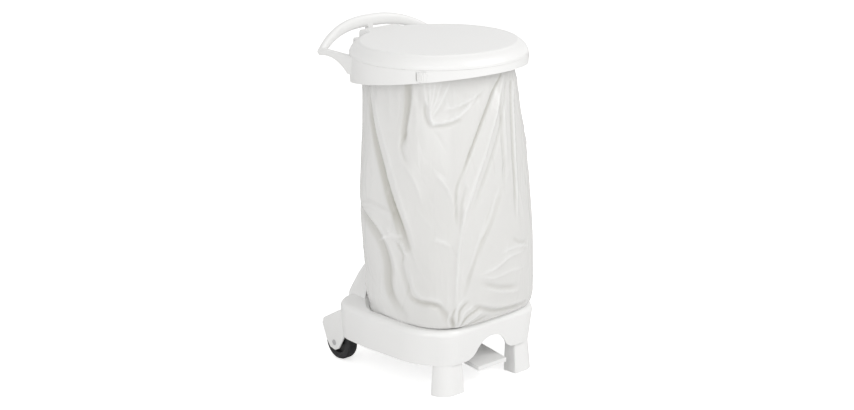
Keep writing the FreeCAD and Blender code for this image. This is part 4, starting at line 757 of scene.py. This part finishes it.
@dataclass
class BagFilm:
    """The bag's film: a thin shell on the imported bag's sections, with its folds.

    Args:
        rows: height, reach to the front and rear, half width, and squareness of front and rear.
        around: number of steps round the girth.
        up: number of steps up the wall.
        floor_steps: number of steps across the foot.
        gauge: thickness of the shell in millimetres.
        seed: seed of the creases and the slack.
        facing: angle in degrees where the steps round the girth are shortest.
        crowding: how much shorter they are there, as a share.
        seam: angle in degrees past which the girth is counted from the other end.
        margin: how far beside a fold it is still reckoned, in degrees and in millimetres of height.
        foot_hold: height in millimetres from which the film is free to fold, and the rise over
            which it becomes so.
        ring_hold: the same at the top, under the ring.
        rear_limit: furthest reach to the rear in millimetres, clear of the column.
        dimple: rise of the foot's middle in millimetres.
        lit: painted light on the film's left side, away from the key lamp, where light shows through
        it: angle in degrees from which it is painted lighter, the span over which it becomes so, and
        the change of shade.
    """

    rows: tuple[tuple[float, ...], ...] = (
        (140.3, 172.3, 158.0, 165.9, 3.9, 3.0),
        (152.0, 180.0, 163.0, 179.9, 3.6, 2.9),
        (168.0, 183.4, 165.0, 185.5, 3.35, 2.6),
        (180.6, 186.8, 166.0, 187.0, 3.25, 2.5),
        (182.8, 201.0, 167.0, 188.5, 3.45, 2.5),
        (190.0, 213.0, 169.0, 191.0, 3.4, 2.45),
        (204.0, 223.0, 173.0, 195.5, 3.15, 2.4),
        (223.0, 231.0, 177.0, 200.5, 2.9, 2.4),
        (288.0, 239.1, 183.0, 208.6, 2.45, 2.2),
        (349.0, 241.0, 187.0, 214.4, 2.3, 2.2),
        (418.0, 240.0, 192.0, 218.0, 2.2, 2.15),
        (500.0, 234.2, 194.0, 218.0, 2.15, 2.1),
        (595.0, 225.5, 191.0, 212.2, 2.1, 2.05),
        (675.0, 214.9, 190.0, 204.5, 2.05, 2.0),
        (755.0, 202.8, 190.4, 196.9, 2.0, 2.0),
        (800.0, 196.0, 191.2, 193.9, 2.0, 2.0),
        (818.0, 194.3, 192.6, 193.4, 2.0, 2.0),
        (832.0, 193.3, 192.6, 192.9, 2.0, 2.0),
        (846.0, 192.6, 192.6, 192.6, 2.0, 2.0),
    )
    around: int = 300
    up: int = 156
    floor_steps: int = 10
    gauge: float = 0.5
    seed: int = 11
    facing: float = -118.0
    crowding: float = 0.42
    seam: float = 142.0
    margin: tuple[float, float] = (25.0, 60.0)
    foot_hold: tuple[float, float] = (181.0, 16.0)
    ring_hold: tuple[float, float] = (822.0, 50.0)
    rear_limit: float = 200.5
    dimple: float = 2.0
    lit: tuple[float, float, float] = (-146.0, 40.0, 0.15)

    def _tube(self) -> bmesh.types.BMesh:
        """Spin a post and a spoke of unit radius into a closed-bottomed tube.

        Returns:
            The tube, with the height of each place in Z in millimetres.
        """
        bm = bmesh.new()
        low, high = self.rows[0][0], self.rows[-1][0]
        last = bm.verts.new((0.0, 0.0, low))
        chain = []
        for step in range(1, self.floor_steps + 1):
            place = bm.verts.new((step / self.floor_steps, 0.0, low))
            chain.append(bm.edges.new((last, place)))
            last = place
        for step in range(1, self.up + 1):
            place = bm.verts.new((1.0, 0.0, low + (high - low) * step / self.up))
            chain.append(bm.edges.new((last, place)))
            last = place
        points = {vert for edge in chain for vert in edge.verts}
        bmesh.ops.spin(bm, geom=list(points) + chain, cent=(0, 0, 0), axis=(0, 0, 1),
                       angle=2 * math.pi, steps=self.around, use_merge=True)
        bmesh.ops.remove_doubles(bm, verts=bm.verts, dist=0.0001)
        return bm

    def section(self, angle: np.ndarray, level: np.ndarray) -> tuple[np.ndarray, np.ndarray]:
        """Reach of the smooth bag at each angle and height.

        Args:
            angle: angle about the section's middle in radians.
            level: height in millimetres.

        Returns:
            The reach and the section's middle in Y, both in millimetres.
        """
        table = np.array(self.rows)
        values = [eased(level, table[:, 0], table[:, column]) for column in range(1, 6)]
        front, rear, side, square_front, square_rear = values
        middle, half_y = (rear - front) / 2, (rear + front) / 2
        c, s = np.abs(np.cos(angle)), np.abs(np.sin(angle))
        power = np.where(np.sin(angle) < 0, square_front, square_rear)
        reach = ((c / side) ** power + (s / half_y) ** power) ** (-1 / power)
        return reach, middle

    def _folded(self, degrees: np.ndarray, level: np.ndarray) -> tuple[np.ndarray, np.ndarray]:
        """Sum all the folds and the slack of the film, with the painted light and shade on it.

        Args:
            degrees: angle about the section's middle in degrees.
            level: height in millimetres.

        Returns:
            The shift outwards in millimetres and the painted light and shade at each place.
        """
        shift = np.zeros(len(degrees))
        tone = np.zeros(len(degrees))
        beside, above = self.margin
        for fold in (*FOLDS, *Creases(self.seed).folds()):
            near, heights = zip(*fold.points)
            for wrap in (-360, 0, 360):
                turned = degrees + wrap
                span = (turned > min(near) - beside) & (turned < max(near) + beside)
                span &= (level > min(heights) - above) & (level < max(heights) + above)
                if span.any():
                    lift, shade = fold.press(turned[span] * GIRTH_STEP, level[span])
                    shift[span] += lift
                    tone[span] += shade
        shift += Slack(self.seed).shift(degrees * GIRTH_STEP, level)
        # Painted light: the film's left side, away from the key lamp, is painted lighter.
        start, reach, change = self.lit
        tone += change * np.clip((start - degrees) / reach, 0, 1)
        return shift, tone

    def _shaped(self, places: np.ndarray) -> tuple[np.ndarray, np.ndarray]:
        """Lay the unit tube on the bag's sections, folds and all.

        Args:
            places: the tube's vertices.

        Returns:
            The place of each vertex in metres and its painted light and shade.
        """
        share = np.hypot(places[:, 0], places[:, 1])
        turn = np.arctan2(places[:, 1], places[:, 0])
        angle = turn - self.crowding * np.sin(turn - math.radians(self.facing))
        level = places[:, 2]
        reach, middle = self.section(angle, level)
        degrees = np.degrees(angle)
        degrees = np.where(degrees > self.seam, degrees - 360, degrees)
        shift, tone = self._folded(degrees, level)
        foot, foot_rise = self.foot_hold
        top, top_fall = self.ring_hold
        free = np.clip((level - foot) / foot_rise, 0, 1) * np.clip((top - level) / top_fall, 0, 1)
        free = free * free * (3 - 2 * free)
        reach = reach * share + shift * free * share
        rear = np.clip(np.sin(angle), 0, 1)
        limit = (self.rear_limit - middle) / np.maximum(rear, 0.2)
        reach = np.where(rear > 0.6, np.minimum(reach, limit), reach)
        rise = np.where(share < 0.999, self.dimple * (1 - share ** 2), 0.0)
        shaped = np.stack([reach * np.cos(angle), middle + reach * np.sin(angle) + RING_AXIS_Y,
                           level + rise], axis=1) * MM
        return shaped, tone

    def build(self, material: bpy.types.Material) -> bpy.types.Object:
        """Shape the film, give it its folds, its painted light and shade, and its thickness.

        Args:
            material: its finish.

        Returns:
            The finished bag.
        """
        bm = self._tube()
        bmesh.ops.recalc_face_normals(bm, faces=bm.faces)
        piece = finish_object("bag_film", bm, material, sharp=179.0)
        mesh = piece.data
        flat = np.empty(len(mesh.vertices) * 3)
        mesh.vertices.foreach_get("co", flat)
        shaped, tone = self._shaped(flat.reshape(-1, 3))
        mesh.vertices.foreach_set("co", shaped.ravel())
        # The painted light and shade go on the film as a point attribute.
        mesh.attributes.new("painted_film_light", "FLOAT", "POINT").data.foreach_set("value", tone)
        mesh.update()
        wall = piece.modifiers.new("film_gauge", "SOLIDIFY")
        wall.thickness = self.gauge * MM
        wall.offset = -1.0
        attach(piece, "frame")
        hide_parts("bag")
        return piece


@dataclass
class TrayApron:
    """The slope inside the tray's rim, from the rim's inner wall down to the bag's foot.

    Args:
        steps: number of steps round the bag.
        rim: height of the slope's upper edge in millimetres.
        foot: height of its lower edge in millimetres.
        rings: number of rings of faces from the foot to the rim.
        clearance: distance from the film in millimetres.
        bite: how far it goes into the wall in millimetres.
        hollow: power of its curve, over 1 for a hollow slope.
        inside: radius that is clear of the tray all round, in millimetres.
        sight: depth under the rim at which the wall is looked for, in millimetres.
        gauge: its thickness in millimetres.
    """

    steps: int = 144
    rim: float = 181.0
    foot: float = 172.0
    rings: int = 4
    clearance: float = 0.6
    bite: float = 0.8
    hollow: float = 1.4
    inside: float = 150.0
    sight: float = 4.0
    gauge: float = 2.0

    def build(self, nodes: dict[str, bpy.types.Object], film: BagFilm,
              material: bpy.types.Material) -> bpy.types.Object:
        """Lay the slope between the tray's wall and the film.

        Args:
            nodes: the CAD nodes by name.
            film: the bag's film, for its sections.
            material: its finish.

        Returns:
            The finished slope.
        """
        tray = bmesh.new()
        tray.from_mesh(nodes["base_tray"].data)
        tree = BVHTree.FromBMesh(tray)
        tray.free()
        angles = np.linspace(0, 2 * math.pi, self.steps, endpoint=False)
        reach, middle = film.section(angles, np.full(angles.shape, self.foot))
        start = Vector((0.0, float(middle[0]) + RING_AXIS_Y, self.rim - self.sight)) * MM
        bm = bmesh.new()
        bmesh.ops.create_circle(bm, cap_ends=False, radius=1.0, segments=self.steps)
        rows = [list(bm.verts)]
        for _ in range(self.rings):
            edges = [edge for edge in bm.edges
                     if edge.verts[0] in rows[-1] and edge.verts[1] in rows[-1]]
            grown = bmesh.ops.extrude_edge_only(bm, edges=edges)["geom"]
            rows.append([item for item in grown if isinstance(item, bmesh.types.BMVert)])
        for index, row in enumerate(rows):
            share = index / self.rings
            level = self.foot + (self.rim - self.foot) * share ** self.hollow
            for vert in row:
                angle = math.atan2(vert.co.y, vert.co.x) % (2 * math.pi)
                near = float(np.interp(angle, angles, reach, period=2 * math.pi))
                near += self.clearance
                along = Vector((math.cos(angle), math.sin(angle), 0.0))
                far = tree.ray_cast(start + along * self.inside * MM, along)[3]
                wall = self.inside + far / MM if far else near
                out = near + max(wall + self.bite - near, 1.0) * share
                vert.co = (start + along * out * MM).to_2d().to_3d()
                vert.co.z = level * MM
        bmesh.ops.recalc_face_normals(bm, faces=bm.faces)
        if sum(face.normal.z for face in bm.faces) < 0:
            bmesh.ops.reverse_faces(bm, faces=bm.faces)
        piece = finish_object("tray_apron", bm, material, sharp=60.0)
        wall = piece.modifiers.new("apron_gauge", "SOLIDIFY")
        wall.thickness = self.gauge * MM
        wall.offset = -1.0
        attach(piece, "frame")
        return piece


@dataclass
class FilmTuft:
    """A pinch of film that shows in the slot of a film clip.

    Args:
        side: -1 for the left clip, 1 for the right one.
        angle: degrees from the front.
        width: width in millimetres.
        low: lower edge in millimetres.
        high: upper edge in millimetres.
        radius: distance from the ring's axis in millimetres.
        pleats: height in millimetres, waves across in radians, slant and start of each pleat.
        bulge: how far its middle stands out in millimetres.
        taper: how much narrower its foot is, as a share.
        tone: painted light that lifts the tuft's film towards BACKLIT.
        gauge: its thickness in millimetres.
    """

    side: int
    angle: float = 52.4
    width: float = 26.0
    low: float = 824.5
    high: float = 850.0
    radius: float = 229.6
    pleats: tuple[tuple[float, ...], ...] = ((0.44, 26.0, 2.2, 0.0), (0.22, 47.0, 0.0, 1.0))
    bulge: float = 2.6
    taper: float = 0.12
    tone: float = 0.25
    gauge: float = 0.4

    def build(self, material: bpy.types.Material) -> bpy.types.Object:
        """Pleat a small sheet and set it in the slot.

        Args:
            material: its finish.

        Returns:
            The finished tuft.
        """
        bm = bmesh.new()
        bmesh.ops.create_grid(bm, x_segments=28, y_segments=12, size=0.5)
        for vert in bm.verts:
            across, up = vert.co.x, vert.co.y + 0.5
            pleat = sum(size * math.sin(across * waves + slant * up + start)
                        for size, waves, slant, start in self.pleats)
            bulge = self.bulge * math.cos(across * math.pi) * (0.4 + 0.6 * up)
            narrow = 1.0 - self.taper * (1 - up) ** 2
            vert.co = Vector((across * self.width * narrow, -bulge - pleat,
                              self.low + (self.high - self.low) * up)) * MM
        move = Matrix.Translation(Vector((0.0, -self.radius * MM, 0.0)))
        turn = Matrix.Rotation(math.radians(self.side * self.angle), 4, "Z")
        shift = Matrix.Translation(Vector((0.0, RING_AXIS_Y * MM, 0.0)))
        bmesh.ops.transform(bm, matrix=shift @ turn @ move, verts=bm.verts)
        name = "left_film_tuft" if self.side < 0 else "right_film_tuft"
        piece = finish_object(name, bm, material, sharp=179.0)
        # Painted light: the tuft's film is painted lighter, towards BACKLIT.
        tones = np.full(len(piece.data.vertices), self.tone)
        piece.data.attributes.new("painted_film_light", "FLOAT", "POINT").data.foreach_set("value", tones)
        wall = piece.modifiers.new("film_gauge", "SOLIDIFY")
        wall.thickness = self.gauge * MM
        wall.offset = 0.0
        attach(piece, "frame")
        return piece


@dataclass(frozen=True)
class Lamp:
    """One square soft lamp.

    Args:
        name: its name.
        power: its power in watts.
        size: its side in metres.
        place: where it stands, in metres.
    """

    name: str
    power: float
    size: float
    place: tuple[float, float, float]

    def build(self, aim: Vector) -> None:
        """Make the lamp.

        Args:
            aim: the point that it faces, in metres.
        """
        data = bpy.data.lights.new(self.name, "AREA")
        data.energy = self.power
        data.size = self.size
        lamp = bpy.data.objects.new(self.name, data)
        lamp.location = self.place
        away = aim - Vector(self.place)
        lamp.rotation_euler = away.to_track_quat("-Z", "Y").to_euler()
        bpy.context.scene.collection.objects.link(lamp)


@dataclass(frozen=True)
class Studio:
    """A pale floor, a white surround and soft lamps.

    Args:
        lamps: the lamp in front and to the right, and the one on the left.
        aim: the point that they face, in metres.
        sky: strength of the surround's light on the object.
        reach: half the floor's side in metres.
        glow: strength of the floor's own white, which only the camera sees.
    """

    lamps: tuple[Lamp, ...] = (Lamp("key", 33.0, 1.6, (1.1, -2.3, 2.5)),
                               Lamp("fill", 25.0, 2.2, (-2.4, -1.6, 1.5)))
    aim: tuple[float, float, float] = (0.0, 0.0, 0.5)
    sky: float = 0.63
    reach: float = 9.0
    glow: float = 0.62

    def build(self) -> None:
        """Make the floor, the surround and the lamps."""
        bm = bmesh.new()
        bmesh.ops.create_grid(bm, x_segments=1, y_segments=1, size=self.reach)
        floor = finish_object("floor", bm, self._floor_material())
        self._surround()
        for lamp in self.lamps:
            lamp.build(Vector(self.aim))

    def _floor_material(self) -> bpy.types.Material:
        """A white floor that keeps the object's shadow.

        Returns:
            The new material.
        """
        material = bpy.data.materials.new("pale_floor")
        material.use_nodes = True
        nodes, links = material.node_tree.nodes, material.node_tree.links
        shader, out = nodes["Principled BSDF"], nodes["Material Output"]
        shader.inputs["Base Color"].default_value = (0.90, 0.90, 0.90, 1.0)
        shader.inputs["Roughness"].default_value = 0.8
        glow = nodes.new("ShaderNodeEmission")
        glow.inputs["Color"].default_value = (1.0, 1.0, 1.0, 1.0)
        glow.inputs["Strength"].default_value = self.glow
        path = nodes.new("ShaderNodeLightPath")
        both = nodes.new("ShaderNodeAddShader")
        pick = nodes.new("ShaderNodeMixShader")
        links.new(shader.outputs[0], both.inputs[0])
        links.new(glow.outputs[0], both.inputs[1])
        links.new(path.outputs["Is Camera Ray"], pick.inputs[0])
        links.new(shader.outputs[0], pick.inputs[1])
        links.new(both.outputs[0], pick.inputs[2])
        links.new(pick.outputs[0], out.inputs["Surface"])
        return material

    def _surround(self) -> None:
        """A world that is white to the camera and in reflections, and gentler on the object."""
        world = bpy.data.worlds.new("surround")
        bpy.context.scene.world = world
        world.use_nodes = True
        nodes, links = world.node_tree.nodes, world.node_tree.links
        plain, out = nodes["Background"], nodes["World Output"]
        plain.inputs["Color"].default_value = (1.0, 0.993, 0.98, 1.0)
        plain.inputs["Strength"].default_value = self.sky
        white = nodes.new("ShaderNodeBackground")
        white.inputs["Color"].default_value = (1.0, 1.0, 1.0, 1.0)
        white.inputs["Strength"].default_value = 1.0
        path = nodes.new("ShaderNodeLightPath")
        pick = nodes.new("ShaderNodeMixShader")
        seen = path.outputs["Is Camera Ray"]
        for kind in ("Is Transmission Ray", "Is Glossy Ray"):
            either = nodes.new("ShaderNodeMath")
            either.operation = "MAXIMUM"
            links.new(seen, either.inputs[0])
            links.new(path.outputs[kind], either.inputs[1])
            seen = either.outputs[0]
        links.new(seen, pick.inputs[0])
        links.new(plain.outputs[0], pick.inputs[1])
        links.new(white.outputs[0], pick.inputs[2])
        links.new(pick.outputs[0], out.inputs["Surface"])


@dataclass(frozen=True)
class Viewpoint:
    """The photo's camera, fitted to the holder's own sizes.

    Args:
        distance: distance from the ring's axis over the floor in millimetres.
        height: height above the floor in millimetres.
        azimuth: degrees from the front towards the left.
        pitch: degrees that it looks down.
        pan: degrees that it looks to the side.
        roll: degrees that it leans.
        focal: focal length in pixels of an image PHOTO_WIDTH wide, on a SENSOR millimetres wide.
    """

    distance: float = 4539.7
    height: float = 1805.5
    azimuth: float = 41.88
    pitch: float = 16.68
    pan: float = -0.43
    roll: float = -0.565
    focal: float = 1804.4

    def build(self) -> bpy.types.Object:
        """Make the camera and use it.

        Returns:
            The camera.
        """
        az, pitch, pan, roll = (math.radians(angle) for angle in
                                (self.azimuth, self.pitch, self.pan, self.roll))
        right = Vector((math.cos(az), -math.sin(az), 0.0))
        away = Vector((math.sin(az), math.cos(az), 0.0))
        up_axis = Vector((0.0, 0.0, 1.0))
        turned_right = right * math.cos(pan) - away * math.sin(pan)
        turned_away = right * math.sin(pan) + away * math.cos(pan)
        forward = turned_away * math.cos(pitch) - up_axis * math.sin(pitch)
        up = turned_away * math.sin(pitch) + up_axis * math.cos(pitch)
        side = turned_right * math.cos(roll) + up * math.sin(roll)
        top = up * math.cos(roll) - turned_right * math.sin(roll)
        data = bpy.data.cameras.new("photo_camera")
        data.sensor_width = SENSOR
        data.lens = SENSOR * self.focal / PHOTO_WIDTH
        data.clip_end = 50.0
        camera = bpy.data.objects.new("photo_camera", data)
        turn = Matrix((side, top, -forward)).transposed().to_4x4()
        place = Vector((-self.distance * math.sin(az),
                        -self.distance * math.cos(az) + RING_AXIS_Y, self.height)) * MM
        camera.matrix_world = Matrix.Translation(place) @ turn
        bpy.context.scene.collection.objects.link(camera)
        bpy.context.scene.camera = camera
        return camera


def paint(nodes: dict[str, bpy.types.Object], names: Sequence[str],
          material: bpy.types.Material) -> None:
    """Give CAD nodes that show as they are a finish.

    Args:
        nodes: the CAD nodes by name.
        names: the nodes to paint.
        material: the finish.
    """
    for name in names:
        data = nodes[name].data
        data.materials.clear()
        data.materials.append(material)


MOULDINGS: tuple[Moulding, ...] = (
    Moulding("base_tray", "frame", ease=0.8),
    Moulding("left_foot", "frame", ease=0.8),
    Moulding("right_foot", "frame", ease=0.8),
    Moulding("column", "frame"),
    Moulding("bag_ring", "frame", ease=0.6),
    Moulding("lid", "lid", ease=0.6),
    Moulding("pedal", "pedal", ease=0.8),
)
WHITE_NODES = ("lower_rod_guide", "upper_rod_guide")
STEEL_NODES = ("foot_screws", "lower_column_screws", "upper_column_screws", "hinge_pin",
               "pedal_shaft", "shaft_clips", "lift_rod", "lower_cross_pin", "upper_cross_pin",
               "left_axle", "right_axle", "axle_clips")


def main() -> None:
    """Dress the frame, light it and look at it as the photo does."""
    logging.basicConfig(level=logging.INFO, format="%(name)s: %(message)s")
    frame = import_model()
    nodes = frame["nodes"]
    white, film, tread, black, steel = (finish.build()
                                        for finish in (WHITE, FILM, TREAD, BLACK, STEEL))
    for moulding in MOULDINGS:
        piece = moulding.build(nodes, white)
        LOG.info("%s: %d faces", piece.name, len(piece.data.polygons))
    for side in ("left", "right"):
        tyre = Moulding(f"{side}_tyre", f"{side}_wheel", "tread_rubber", 0.0).build(nodes, tread)
        hub = Moulding(f"{side}_hub", f"{side}_wheel", "black_plastic", 0.4).build(nodes, black)
        LOG.info("%s and %s", tyre.name, hub.name)
    paint(nodes, WHITE_NODES, white)
    paint(nodes, STEEL_NODES, steel)
    film_shape = BagFilm()
    bag = film_shape.build(film)
    LOG.info("%s: %d faces", bag.name, len(bag.data.polygons))
    LOG.info("%s", TrayApron().build(nodes, film_shape, white).name)
    for side in (-1, 1):
        LOG.info("%s", FilmTuft(side).build(film).name)
    Studio().build()
    Viewpoint().build()
    bpy.context.scene.view_settings.view_transform = "Standard"
    bpy.context.view_layer.update()


if __name__ == "__main__":
    main()
